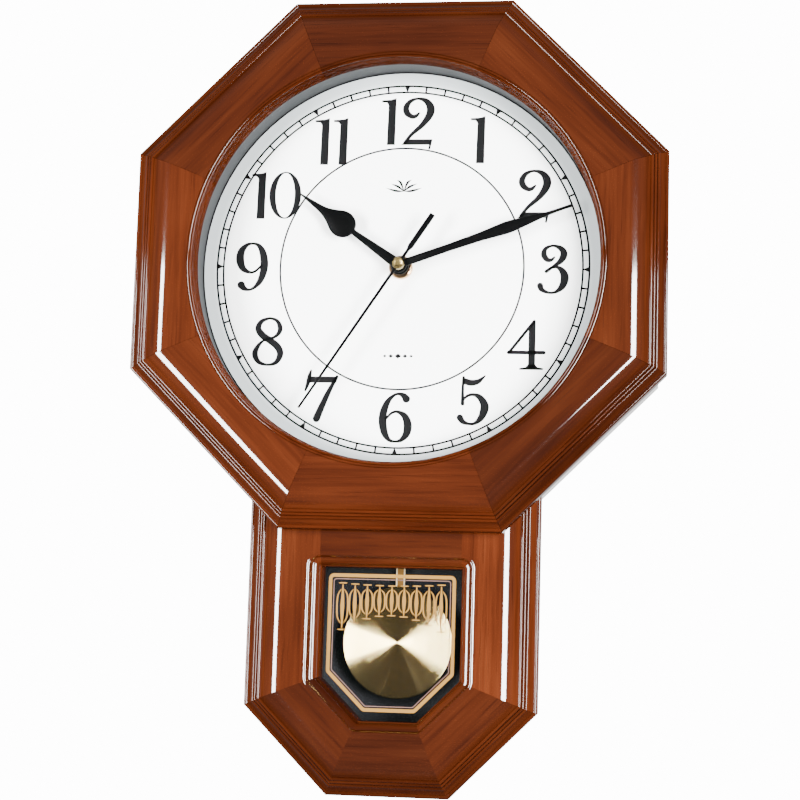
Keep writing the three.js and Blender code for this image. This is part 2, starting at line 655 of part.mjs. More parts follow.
// A coil spring of three turns that presses on the flat end of the cell.
function springContact(start) {
  const turns = 3;
  const steps = 30;
  const reach = 2.9;
  const points = Array.from({ length: steps + 1 }, (_, i) => {
    const angle = i / steps * turns * 2 * Math.PI;
    const radius = 4.5 - 2 * i / steps;
    return new THREE.Vector3(
      start.x + i / steps * reach,
      start.y + radius * Math.cos(angle),
      start.z + radius * Math.sin(angle),
    );
  });
  const wire = new THREE.Shape().absarc(0, 0, 0.3, 0, 2 * Math.PI);
  const extrudePath = new THREE.CatmullRomCurve3(points);
  return solidOf(new THREE.ExtrudeGeometry(wire, { extrudePath, steps: 36, curveSegments: 3 }));
}

// ---- Hands --------------------------------------------------------------------------------------

// A hand drawn along +Z from half widths at given distances from its axis.
function handOutline(stations) {
  const right = stations.map(([distance, half]) => [half, distance]);
  const left = stations.map(([distance, half]) => [-half, distance]).reverse();
  return [...right, ...left];
}

function buildHands() {
  const hourY = [-60.5, -59.7];
  const hourBlade = handOutline([
    [-5, 2.4], [7, 2.9], [33.5, 1.75], [36.6, 5.2], [40.4, 7.5], [43, 7.9], [47, 6.8], [53, 3.7],
    [62, 1.5], [76, 0.3],
  ]);
  const hour = join(slab(hourBlade, ...hourY), cylinder(6, hourY));
  const hourBore = cylinder(HOUR_PIPE_RADIUS + GAP, [-70, -50]);
  part(head, "hour_hand", cut(hour, hourBore), black).rotation.y = HOUR_HAND_ANGLE;

  const minuteY = [-63.4, -62.6];
  const minuteBlade = handOutline([
    [-4, 2], [32, 1.75], [52, 2.3], [69.5, 3.5], [76.5, 3.1], [90, 1.5], [109, 0.3],
  ]);
  const minute = join(slab(minuteBlade, ...minuteY), cylinder(5, minuteY));
  const minuteBore = cylinder(PIPE_RADIUS + GAP, [-70, -50]);
  part(head, "minute_hand", cut(minute, minuteBore), black).rotation.y = MINUTE_HAND_ANGLE;

  const secondY = [-66, -65.4];
  const secondBlade = handOutline([
    [-36, 1.7], [-15.5, 1.7], [-12, 0.7], [0, 0.7], [60, 0.6], [105, 0.35],
  ]);
  const boss = turned([[0, -67.6], [2.6, -67.4], [3.6, -66.4], [3.6, -64.4], [0, -64.4]]);
  const secondBore = cylinder(ARBOR_RADIUS + GAP, [-67.2, -60], 16);
  const second = cut(join(slab(secondBlade, ...secondY), boss), secondBore);
  part(head, "second_hand", second, black).rotation.y = SECOND_HAND_ANGLE;
}

// ---- Pendulum -----------------------------------------------------------------------------------

function buildPendulum() {
  const rodY = [-13.6, -12.4];
  const halfWidth = 2.7;
  const bobZ = PENDULUM_PIVOT - PENDULUM_LENGTH;
  const strip = join(
    block([-halfWidth, halfWidth], rodY, [bobZ - 20, PENDULUM_PIVOT]),
    cylinder(5, rodY, SMALL_ROUND, 0, PENDULUM_PIVOT),
  );
  const eye = cylinder(1.6 + GAP, [-20, 0], 16, 0, PENDULUM_PIVOT);
  part(head, "pendulum_rod", cut(strip, eye), brass);
  const front = -20;
  const back = rodY[0];
  const bob = turned(
    [
      [0, front],
      [0.5 * BOB_RADIUS, front + 0.7],
      [0.85 * BOB_RADIUS, front + 2.4],
      [BOB_RADIUS, front + 4.4],
      [BOB_RADIUS, back],
      [0, back],
    ],
    64,
    0,
    bobZ,
  );
  part(head, "pendulum_bob", bob, brass);
}

buildBezel();
buildDropFrame();
buildCase();
buildHanger();
buildDial();
buildChamber();
buildMovement();
buildTrain();
buildHands();
buildPendulum();

export default clock;
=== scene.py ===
"""Looks of an octagonal drop-dial pendulum wall clock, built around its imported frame.

Every length is in metres. The wall is the plane y = 0, the dial faces -Y and +Z is up.
"""

from __future__ import annotations

import logging
import math
from dataclasses import dataclass, field
from enum import Enum
from typing import Callable, Iterable, Sequence

import bmesh
import bpy
from mathutils import Matrix, Vector

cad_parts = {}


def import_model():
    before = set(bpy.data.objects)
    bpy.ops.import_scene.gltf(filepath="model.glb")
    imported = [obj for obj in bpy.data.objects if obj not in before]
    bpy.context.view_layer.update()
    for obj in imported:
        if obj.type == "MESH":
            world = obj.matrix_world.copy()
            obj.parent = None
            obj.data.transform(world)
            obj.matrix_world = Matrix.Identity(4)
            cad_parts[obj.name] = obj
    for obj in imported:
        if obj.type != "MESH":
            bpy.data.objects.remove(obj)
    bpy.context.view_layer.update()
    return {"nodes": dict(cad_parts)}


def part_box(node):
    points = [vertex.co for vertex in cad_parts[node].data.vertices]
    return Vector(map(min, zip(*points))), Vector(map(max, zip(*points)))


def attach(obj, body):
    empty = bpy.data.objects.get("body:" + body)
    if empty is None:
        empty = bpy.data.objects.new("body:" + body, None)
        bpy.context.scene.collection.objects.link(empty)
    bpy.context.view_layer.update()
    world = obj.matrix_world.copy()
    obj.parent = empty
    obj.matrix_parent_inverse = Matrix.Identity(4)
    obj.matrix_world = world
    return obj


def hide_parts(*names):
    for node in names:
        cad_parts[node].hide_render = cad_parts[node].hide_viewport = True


LOG = logging.getLogger("clock")
MM = 0.001
TURN = 2 * math.pi
CASE = "case"
Flat = tuple[float, float]
Colour = tuple[float, float, float]


# ---- Shader graphs -------------------------------------------------------------------------------


class Signal:
    """A shader socket that takes part in Python arithmetic."""

    def __init__(self, graph: Graph, socket: bpy.types.NodeSocket) -> None:
        """Wraps a socket.

        Args:
            graph: the graph that the socket belongs to.
            socket: the output socket.
        """
        self.graph = graph
        self.socket = socket

    def maths(self, operation: str, *others: Signal | float) -> Signal:
        """Adds a Math node.

        Args:
            operation: the node's operation.
            others: the second and third operands.

        Returns:
            The node's result.
        """
        inputs = dict(enumerate((self, *others)))
        return self.graph.node("ShaderNodeMath", {"operation": operation}, inputs)

    def __add__(self, other: Signal | float) -> Signal:
        """Returns self + other."""
        return self.maths("ADD", other)

    __radd__ = __add__

    def __mul__(self, other: Signal | float) -> Signal:
        """Returns self * other."""
        return self.maths("MULTIPLY", other)

    __rmul__ = __mul__

    def __sub__(self, other: Signal | float) -> Signal:
        """Returns self - other."""
        return self.maths("SUBTRACT", other)

    def __rsub__(self, other: float) -> Signal:
        """Returns other - self."""
        return (self * -1.0) + other

    def step(self, low: float, high: float) -> Signal:
        """Rises smoothly from 0 to 1.

        Args:
            low: the value where it leaves 0.
            high: the value where it reaches 1.

        Returns:
            The smooth step.
        """
        settings = {"interpolation_type": "SMOOTHSTEP"}
        return self.graph.node("ShaderNodeMapRange", settings, {0: self, 1: low, 2: high})


class Graph:
    """The node tree of one material."""

    def __init__(self, name: str) -> None:
        """Makes an empty material.

        Args:
            name: the material's name.
        """
        self.material = bpy.data.materials.new(name)
        self.material.use_nodes = True
        self.tree = self.material.node_tree
        self.tree.nodes.clear()

    def node(
        self,
        kind: str,
        settings: dict[str, object] | None = None,
        inputs: dict[str | int, object] | None = None,
        output: str | int = 0,
    ) -> Signal:
        """Adds any node.

        Args:
            kind: the node's type.
            settings: its attributes, set before its sockets; "stops" fills a colour ramp.
            inputs: values or signals by socket name or number.
            output: the socket to return.

        Returns:
            The chosen output.
        """
        made = self.tree.nodes.new(kind)
        for name, value in (settings or {}).items():
            if name == "stops":
                fill_ramp(made.color_ramp, value)
            else:
                setattr(made, name, value)
        for name, value in (inputs or {}).items():
            if isinstance(value, Signal):
                self.tree.links.new(value.socket, made.inputs[name])
            else:
                made.inputs[name].default_value = value
        return Signal(self, made.outputs[output])

    def vector(self, operation: str, *operands: Signal | Sequence[float]) -> Signal:
        """Returns a Vector Math node's vector."""
        return self.node("ShaderNodeVectorMath", {"operation": operation}, dict(enumerate(operands)))

    def number(self, operation: str, *operands: Signal | Sequence[float]) -> Signal:
        """Returns a Vector Math node's number, such as a length or a dot product."""
        settings = {"operation": operation}
        return self.node("ShaderNodeVectorMath", settings, dict(enumerate(operands)), "Value")

    def mix(self, factor: Signal | float, first: Signal | Colour, second: Signal | Colour) -> Signal:
        """Blends two colours.

        Args:
            factor: 0 for the first, 1 for the second.
            first: a colour.
            second: a colour.

        Returns:
            The blended colour.
        """
        inputs = {0: factor, 6: opaque(first), 7: opaque(second)}
        return self.node("ShaderNodeMix", {"data_type": "RGBA"}, inputs, 2)

    def noise(self, place: Signal, scale: float, detail: float = 3.0, rough: float = 0.5) -> Signal:
        """Returns fractal noise from 0 to 1 at a place."""
        inputs = {"Vector": place, "Scale": scale, "Detail": detail, "Roughness": rough}
        return self.node("ShaderNodeTexNoise", {}, inputs)

    def bump(self, height: Signal, depth: float) -> Signal:
        """Returns the normal of a surface that is raised by height times depth in metres."""
        return self.node("ShaderNodeBump", {}, {"Height": height, "Distance": depth, "Strength": 1.0})

    def place(self) -> Signal:
        """Returns the place on the object, in the frame's metres."""
        return self.node("ShaderNodeTexCoord", output="Object")

    def axis(self, place: Signal, index: int) -> Signal:
        """Returns one coordinate of a place."""
        return self.node("ShaderNodeSeparateXYZ", {}, {0: place}, index)

    def surface(self, **sockets: object) -> bpy.types.Material:
        """Closes the material with a Principled shader.

        Args:
            sockets: its inputs, with underscores for spaces.

        Returns:
            The finished material.
        """
        inputs = {name.replace("_", " "): opaque(value) for name, value in sockets.items()}
        shader = self.node("ShaderNodeBsdfPrincipled", {}, inputs)
        out = self.tree.nodes.new("ShaderNodeOutputMaterial")
        self.tree.links.new(shader.socket, out.inputs["Surface"])
        return self.material


def opaque(value: object) -> object:
    """Gives a colour its alpha.

    Args:
        value: a colour of three numbers, or anything else.

    Returns:
        The colour of four numbers, or the value as it is.
    """
    if isinstance(value, tuple) and len(value) == 3:
        return (*value, 1.0)
    return value


def fill_ramp(ramp: bpy.types.ColorRamp, stops: Sequence[tuple[float, Colour]]) -> None:
    """Gives a colour ramp its stops.

    Args:
        ramp: the ramp.
        stops: positions with their colours, in order.
    """
    while len(ramp.elements) < len(stops):
        ramp.elements.new(1.0)
    for element, (position, colour) in zip(ramp.elements, stops):
        element.position = position
        element.color = opaque(colour)


# ---- Finishes ------------------------------------------------------------------------------------


class Grain(Enum):
    """How the grain runs through a wooden piece."""

    STRAIGHT = "straight"
    AROUND = "around"


@dataclass(frozen=True)
class StainedWood:
    """Reddish-brown stained hardwood under a glossy lacquer."""

    name: str
    angle: float = 0.0
    seed: float = 0.0
    grain: Grain = Grain.STRAIGHT
    centre: float = 0.0
    # Scales the colour: the wood's own tone, and on the frame rails painted light and shade as well.
    light_and_tone: float = 1.0
    bare_radius: float = 0.0
    bare_depth: float = 0.0
    dark: Colour = (0.0085, 0.0013, 0.0003)
    mid: Colour = (0.0215, 0.0042, 0.0011)
    light: Colour = (0.0370, 0.0088, 0.0026)
    reed_coat: float = 0.35
    mouth_coat: float = 0.12

    def build(self) -> bpy.types.Material:
        """Mixes the finish.

        Returns:
            The lacquered wood, with its grain along the piece.
        """
        graph = Graph(self.name)
        along = self.along(graph)
        shifted = graph.vector("ADD", along, (self.seed, 0.37 * self.seed, 0.0))
        streaks = graph.noise(graph.vector("MULTIPLY", shifted, (1.0, 1.0, 0.035)), 420.0, 4.0, 0.6)
        figure = graph.noise(graph.vector("MULTIPLY", shifted, (1.0, 1.0, 0.10)), 75.0, 3.0, 0.55)
        cloud = graph.noise(shifted, 11.0, 2.0)
        pores = graph.noise(graph.vector("MULTIPLY", shifted, (1.0, 1.0, 0.022)), 1500.0, 2.0)
        blend = streaks * 0.38 + figure * 0.42 + cloud * 0.30 - 0.05
        body = graph.node("ShaderNodeValToRGB", {"stops": self.stops()}, {"Fac": blend})
        open_pores = pores.step(0.60, 0.72)
        colour = graph.mix(open_pores * 0.5, body, scaled(self.dark, 0.6 * self.light_and_tone))
        ripple = graph.noise(along, 520.0, 1.0)
        height = streaks * 0.35 + ripple * 0.65 - open_pores * 0.25
        return graph.surface(
            Base_Color=colour,
            Roughness=streaks * 0.12 + 0.34,
            Normal=graph.bump(height, 0.00003),
            Coat_Weight=self.lacquer(graph),
            Coat_Roughness=0.06,
            Coat_IOR=1.6,
            Specular_IOR_Level=0.0,
        )

    def lacquer(self, graph: Graph) -> Signal | float:
        """Thins the lacquer in the reeds and inside the bare radius.

        Args:
            graph: the wood's graph.

        Returns:
            The lacquer's weight.
        """
        if not self.bare_depth:
            return 1.0
        depth = graph.axis(graph.place(), 1) * -1.0
        rise = depth.step(self.bare_depth, self.bare_depth + 2.0 * MM)
        crest = rise * (1.0 - self.reed_coat) + self.reed_coat
        if not self.bare_radius:
            return crest
        flat = graph.vector("MULTIPLY", graph.place(), (1.0, 0.0, 1.0))
        radius = graph.number("LENGTH", graph.vector("ADD", flat, (0.0, 0.0, -self.centre)))
        outside = radius.step(self.bare_radius - 0.3 * MM, self.bare_radius + 4.0 * MM)
        return crest * (outside * (1.0 - self.mouth_coat) + self.mouth_coat)

    def stops(self) -> list[tuple[float, Colour]]:
        """Returns the ramp from the dark to the light wood."""
        shades = ((0.30, self.dark), (0.52, self.mid), (0.78, self.light))
        return [(position, scaled(colour, self.light_and_tone)) for position, colour in shades]

    def along(self, graph: Graph) -> Signal:
        """Turns places so that their last coordinate runs along the grain.

        Args:
            graph: the wood's graph.

        Returns:
            The turned places.
        """
        place = graph.place()
        if self.grain is Grain.STRAIGHT:
            inputs = {"Vector": place, "Axis": (0.0, 1.0, 0.0), "Angle": -self.angle}
            return graph.node("ShaderNodeVectorRotate", {"rotation_type": "AXIS_ANGLE"}, inputs)
        centred = graph.vector("ADD", place, (0.0, 0.0, -self.centre))
        x, y, z = (graph.axis(centred, index) for index in range(3))
        turn = x.maths("ARCTAN2", z) * 0.16
        radius = graph.number("LENGTH", graph.vector("MULTIPLY", centred, (1.0, 0.0, 1.0)))
        return graph.node("ShaderNodeCombineXYZ", {}, {0: radius, 1: y, 2: turn})


def scaled(colour: Colour, factor: float) -> Colour:
    """Returns a colour made darker or lighter."""
    return tuple(min(1.0, channel * factor) for channel in colour)


@dataclass(frozen=True)
class Speckled:
    """A matt or satin coating or moulding with a fine texture."""

    name: str
    colour: Colour
    fleck: Colour
    roughness: float = 0.5
    scale: float = 900.0
    share: float = 0.35
    relief: float = 0.00002
    coat: float = 0.0
    gloss: float = 0.5

    def build(self) -> bpy.types.Material:
        """Mixes the finish.

        Returns:
            The coating.
        """
        graph = Graph(self.name)
        place = graph.place()
        grains = graph.noise(place, self.scale, 2.0)
        patches = graph.noise(place, 35.0, 2.0)
        mask = grains.step(0.50, 0.68) * self.share + patches * 0.08
        return graph.surface(
            Base_Color=graph.mix(mask, self.colour, self.fleck),
            Roughness=patches * 0.12 + (self.roughness - 0.06),
            Normal=graph.bump(grains, self.relief),
            Coat_Weight=self.coat,
            Coat_Roughness=0.08,
            Specular_IOR_Level=self.gloss,
        )


@dataclass(frozen=True)
class Enamel:
    """Smooth black enamel on the hands, with a few dust marks."""

    name: str
    colour: Colour = (0.0006, 0.0006, 0.0007)

    def build(self) -> bpy.types.Material:
        """Mixes the finish.

        Returns:
            The enamel.
        """
        graph = Graph(self.name)
        dust = graph.noise(graph.place(), 700.0, 3.0).step(0.66, 0.8)
        return graph.surface(
            Base_Color=graph.mix(dust * 0.2, self.colour, (0.01, 0.01, 0.011)),
            Roughness=dust * 0.2 + 0.32,
            Specular_IOR_Level=0.03,
        )


@dataclass(frozen=True)
class TurnedBrass:
    """Brass with the fine rings that turning leaves, which draw a bow-tie highlight."""

    name: str
    centre: tuple[float, float, float]
    spread: float = 0.65
    ring_rate: float = 90000.0
    colour: Colour = (0.68, 0.53, 0.225)

    def build(self) -> bpy.types.Material:
        """Mixes the finish.

        Returns:
            The turned brass.
        """
        graph = Graph(self.name)
        offset = graph.vector("SUBTRACT", graph.place(), self.centre)
        outward = graph.vector("MULTIPLY", offset, (1.0, 0.0, 1.0))
        radius = graph.number("LENGTH", outward)
        direction = graph.vector("NORMALIZE", outward)
        rings = (radius * self.ring_rate).maths("SINE")
        inputs = {0: direction, "Scale": rings * self.spread}
        tilt = graph.node("ShaderNodeVectorMath", {"operation": "SCALE"}, inputs)
        normal = graph.node("ShaderNodeNewGeometry", output="Normal")
        turned = graph.vector("NORMALIZE", graph.vector("ADD", normal, tilt))
        wear = graph.noise(graph.place(), 60.0, 4.0)
        return graph.surface(
            Base_Color=graph.mix(wear * 0.25, self.colour, (0.55, 0.40, 0.15)),
            Metallic=1.0,
            Roughness=wear * 0.05 + 0.10,
            Normal=turned,
        )


@dataclass(frozen=True)
class Metal:
    """Plain metal with fine scratches along one direction."""

    name: str
    colour: Colour
    roughness: float = 0.25
    stretch: tuple[float, float, float] = (1.0, 1.0, 0.05)

    def build(self) -> bpy.types.Material:
        """Mixes the finish.

        Returns:
            The metal.
        """
        graph = Graph(self.name)
        place = graph.place()
        lines = graph.noise(graph.vector("MULTIPLY", place, self.stretch), 1800.0, 2.0)
        cloud = graph.noise(place, 120.0, 3.0)
        return graph.surface(
            Base_Color=graph.mix(cloud * 0.3, self.colour, scaled(self.colour, 0.7)),
            Metallic=1.0,
            Roughness=lines * 0.14 + (self.roughness - 0.07),
            Normal=graph.bump(lines, 0.000006),
        )


@dataclass(frozen=True)
class RodBrass:
    """A brass strip with its raised edges painted pale as a painted highlight and its middle painted dark as
    a painted reflection.
    """

    name: str
    half: float
    lip: float
    # Painted highlight: the pale colour of the raised edges.
    edge: Colour = (0.72, 0.58, 0.36)
    # Painted dark reflection: the colour of the middle.
    middle: Colour = (0.16, 0.075, 0.012)

    def build(self) -> bpy.types.Material:
        """Mixes the finish.

        Returns:
            The brass.
        """
        graph = Graph(self.name)
        place = graph.place()
        side = graph.axis(place, 0).maths("ABSOLUTE")
        # Painted highlight mask: the pale colour on the raised edges.
        highlight_lips = side.step(self.half - 1.3 * self.lip, self.half - 0.8 * self.lip)
        lines = graph.noise(graph.vector("MULTIPLY", place, (1.0, 1.0, 0.05)), 1800.0, 2.0)
        return graph.surface(
            Base_Color=graph.mix(highlight_lips, self.middle, self.edge),
            Metallic=0.55,
            Roughness=lines * 0.1 + 0.3,
        )


@dataclass(frozen=True)
class DialPaint:
    """Matt white dial paint that turns silver grey towards the edge, as painted shade for the shadow of the
    deep bezel wall.
    """

    name: str
    centre: tuple[float, float, float]
    white_radius: float
    shade_radius: float
    white: Colour = (0.955, 0.97, 0.965)
    # The grey is painted shade, standing in for the bezel's shadow on the dial's edge.
    grey: Colour = (0.30, 0.325, 0.33)

    def build(self) -> bpy.types.Material:
        """Mixes the finish.

        Returns:
            The dial paint.
        """
        graph = Graph(self.name)
        place = graph.place()
        offset = graph.vector("MULTIPLY", graph.vector("SUBTRACT", place, self.centre), (1.0, 0.0, 1.0))
        # Painted shade: the paint darkens to grey from the white radius outwards, for the bezel's shadow.
        edge = graph.number("LENGTH", offset).step(self.white_radius, self.shade_radius)
        tooth = graph.noise(place, 2500.0, 1.0)
        return graph.surface(
            Base_Color=graph.mix(edge, self.white, self.grey),
            Roughness=tooth * 0.06 + 0.52,
            Normal=graph.bump(tooth, 0.000003),
            Specular_IOR_Level=0.25,
        )


@dataclass(frozen=True)
class ClearGlass:
    """Clear polished glass, nearly invisible from the front."""

    name: str

    def build(self) -> bpy.types.Material:
        """Mixes the finish.

        Returns:
            The glass.
        """
        graph = Graph(self.name)
        smears = graph.noise(graph.place(), 14.0, 3.0)
        return graph.surface(
            Base_Color=(0.01, 0.012, 0.011),
            Alpha=smears * 0.01 + 0.02,
            Specular_IOR_Level=0.2,
            Roughness=smears * 0.02 + 0.01,
        )


# ---- Mesh building -------------------------------------------------------------------------------


class Shape:
    """Collects closed solids in one mesh."""

    def __init__(self) -> None:
        """Starts an empty mesh."""
        self.mesh = bmesh.new()

    def loft(self, rings: Sequence[Sequence[Vector]], closed: bool = False) -> None:
        """Skins a row of closed loops and caps its ends.

        Args:
            rings: loops with the same number of points.
            closed: joins the last loop to the first in place of caps.
        """
        rows = [[self.mesh.verts.new(point) for point in ring] for ring in rings]
        pairs = list(zip(rows, rows[1:]))
        if closed:
            pairs.append((rows[-1], rows[0]))
        for first, second in pairs:
            for i, vertex in enumerate(first):
                j = (i + 1) % len(first)
                self.mesh.faces.new((vertex, first[j], second[j], second[i]))
        if not closed:
            self.mesh.faces.new(list(reversed(rows[0])))
            self.mesh.faces.new(rows[-1])

    def band(
        self, left: Sequence[Flat], right: Sequence[Flat], front: float, back: float, closed: bool = False
    ) -> None:
        """Adds a flat strip with thickness between two edges.

        Args:
            left: points of one edge in x and z.
            right: as many points of the other edge.
            front: y of the front face.
            back: y of the back face.
            closed: joins the strip's end to its start.
        """
        rings = []
        for (ax, az), (bx, bz) in zip(left, right):
            corners = ((ax, front, az), (bx, front, bz), (bx, back, bz), (ax, back, az))
            rings.append([Vector(corner) for corner in corners])
        self.loft(rings, closed)

    def plate(self, outline: Sequence[Flat], front: float, back: float) -> None:
        """Adds a flat plate with a given outline.

        Args:
            outline: its corners in x and z.
            front: y of the front face.
            back: y of the back face.
        """
        self.loft([[Vector((x, y, z)) for x, z in outline] for y in (front, back)])

    def turned(self, profile: Sequence[Flat], centre: Vector, steps: int, closed: bool = True) -> None:
        """Adds a solid of revolution about a Y axis.

        Args:
            profile: points of radius and y; a closed loop, or a line from axis to axis.
            centre: a point on the axis.
            steps: segments round the axis.
            closed: says that the profile is a loop away from the axis.
        """
        rings = []
        for i in range(steps):
            turn = i * TURN / steps
            rings.append([centre + Vector((r * math.sin(turn), y, r * math.cos(turn))) for r, y in profile])
        if closed:
            self.loft(rings, closed=True)
            return
        tips = [self.mesh.verts.new(centre + Vector((0.0, profile[k][1], 0.0))) for k in (0, -1)]
        rows = [[self.mesh.verts.new(point) for point in ring[1:-1]] for ring in rings]
        for first, second in zip(rows, rows[1:] + rows[:1]):
            self.mesh.faces.new((tips[0], first[0], second[0]))
            self.mesh.faces.new((tips[1], second[-1], first[-1]))
            for i in range(len(first) - 1):
                self.mesh.faces.new((first[i], first[i + 1], second[i + 1], second[i]))

    def finish(
        self,
        name: str,
        body: str,
        slot: str,
        material: bpy.types.Material,
        replaces: Iterable[str] = (),
        smooth: float = 35.0,
        bevel: float = 0.0,
    ) -> bpy.types.Object:
        """Turns the mesh into a piece that rides on a body.

        Args:
            name: the piece's name.
            body: the body it rides on.
            slot: the name of its material slot; not used.
            material: its finish.
            replaces: CAD nodes that it stands for.
            smooth: edges flatter than this many degrees are shaded smooth.
            bevel: width of the rounding on its sharp edges.

        Returns:
            The piece.
        """
        bmesh.ops.recalc_face_normals(self.mesh, faces=self.mesh.faces)
        limit = math.radians(smooth)
        if bevel:
            sharp = [edge for edge in self.mesh.edges if edge.calc_face_angle(0.0) > limit]
            options = {"segments": 2, "profile": 0.5, "affect": "EDGES", "clamp_overlap": True}
            bmesh.ops.bevel(self.mesh, geom=sharp, offset=bevel, **options)
        for face in self.mesh.faces:
            face.smooth = True
        for edge in self.mesh.edges:
            edge.smooth = edge.calc_face_angle(0.0) < limit
        data = bpy.data.meshes.new(name)
        self.mesh.to_mesh(data)
        self.mesh.free()
        data.materials.append(material)
        piece = bpy.data.objects.new(name, data)
        bpy.context.scene.collection.objects.link(piece)
        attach(piece, body)
        if replaces:
            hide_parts(*replaces)
        LOG.info("%s: %d faces", name, len(data.polygons))
        return piece


def arc(centre: Flat, radius: float, start: float, end: float, steps: int) -> list[Flat]:
    """Returns points on a circle's arc.

    Args:
        centre: its middle.
        radius: its radius.
        start: first angle in degrees, anticlockwise from the first axis.
        end: last angle in degrees.
        steps: number of spans.

    Returns:
        One point more than steps.
    """
    angles = [math.radians(start + (end - start) * i / steps) for i in range(steps + 1)]
    return [(centre[0] + radius * math.cos(a), centre[1] + radius * math.sin(a)) for a in angles]


def spline(points: Sequence[tuple[float, ...]], steps: int) -> list[tuple[float, ...]]:
    """Returns a smooth line through points of any number of values.

    Args:
        points: the points that it passes.
        steps: spans between two of them.

    Returns:
        The points of the line.
    """
    ends = [points[0], *points, points[-1]]
    line = []
    for a, b, c, d in zip(ends, ends[1:], ends[2:], ends[3:]):
        for i in range(steps):
            t = i / steps
            line.append(tuple(catmull(*values, t) for values in zip(a, b, c, d)))
    return [*line, points[-1]]


def catmull(a: float, b: float, c: float, d: float, t: float) -> float:
    """Returns the Catmull-Rom blend of four values between the second and the third."""
    square, cube = 2 * a - 5 * b + 4 * c - d, 3 * b - a - 3 * c + d
    return 0.5 * (2 * b + (c - a) * t + square * t**2 + cube * t**3)


# ---- Places taken from the frame -----------------------------------------------------------------


@dataclass
class Layout:
    """Places that several assemblies share, most of them read from the frame's boxes."""

    nodes: dict[str, bpy.types.Object] = field(default_factory=dict)
    centre: Vector = field(default_factory=Vector)
    head_radius: float = 0.0
    head_front: float = 0.0
    head_back: float = 0.0
    drop_front: float = 0.0
    drop_back: float = 0.0
    drop_half: float = 0.0
    drop_bottom: float = 0.0
    rise: float = 14 * MM
    glass_front: float = 0.0
    dial_front: float = 0.0
    opening: float = 120.7 * MM
    window_half: float = 42 * MM
    window_top: float = -301 * MM
    window_bottom: float = -391 * MM
    window_chamfer: float = 24.8 * MM
    drop_chamfer: float = 51 * MM

    @classmethod
    def read(cls, nodes: dict[str, bpy.types.Object]) -> Layout:
        """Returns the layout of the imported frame.

        Args:
            nodes: the frame's CAD nodes by name.

        Returns:
            The layout.
        """
        low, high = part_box("dial_plate")
        rail_low, rail_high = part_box("bezel_rail_top")
        stile_low, stile_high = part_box("drop_stile_right")
        glass_low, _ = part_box("dial_glass")
        middle = (low + high) / 2
        return cls(
            nodes=nodes,
            centre=Vector((middle.x, 0.0, middle.z)),
            head_radius=rail_high.z - middle.z,
            head_front=rail_low.y,
            head_back=rail_high.y,
            drop_front=stile_low.y,
            drop_back=stile_high.y,
            drop_half=stile_high.x,
            drop_bottom=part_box("drop_rail_bottom")[0].z,
            glass_front=glass_low.y,
            dial_front=low.y,
        )

    def dress(self, node: str, material: bpy.types.Material) -> None:
        """Gives a CAD node its finish.

        Args:
            node: the node's name.
            material: its finish.
        """
        data = self.nodes[node].data
        data.materials.clear()
        data.materials.append(material)

    @property
    def head_rim(self) -> float:
        """The y of the head's outer rim."""
        return self.head_front + self.rise

    @property
    def drop_rim(self) -> float:
        """The y of the drop's outer rim."""
        return self.drop_front + self.rise


# ---- Wooden frames -------------------------------------------------------------------------------


def in_metres(points: Iterable[Sequence[float]]) -> list[tuple[float, ...]]:
    """Returns points given in millimetres as points in metres."""
    return [tuple(value * MM for value in point) for point in points]


def outer_moulding() -> list[Flat]:
    """Draws the moulding's section, in which both frames share the nose, the reeds and the shoulder.

    Returns:
        Distance in from the rim and height above it, from the rim to the field.
    """
    nose = arc((1.3, 0.6), 1.3, 180, 50, 8)
    slope = [(2.6, 2.1), (3.6, 2.9), (4.6, 3.8)]
    reeds: list[Flat] = []
    for centre in ((6.3, 5.0), (8.1, 6.5), (9.9, 8.0)):
        reeds += arc(centre, 1.0, 190, 20, 8)
    shoulder = arc((24.0, -1.05), 15.0, 120, 91, 14)
    return in_metres([(0.0, -0.4), *nose, *slope, *reeds, (11.3, 8.95), *shoulder])


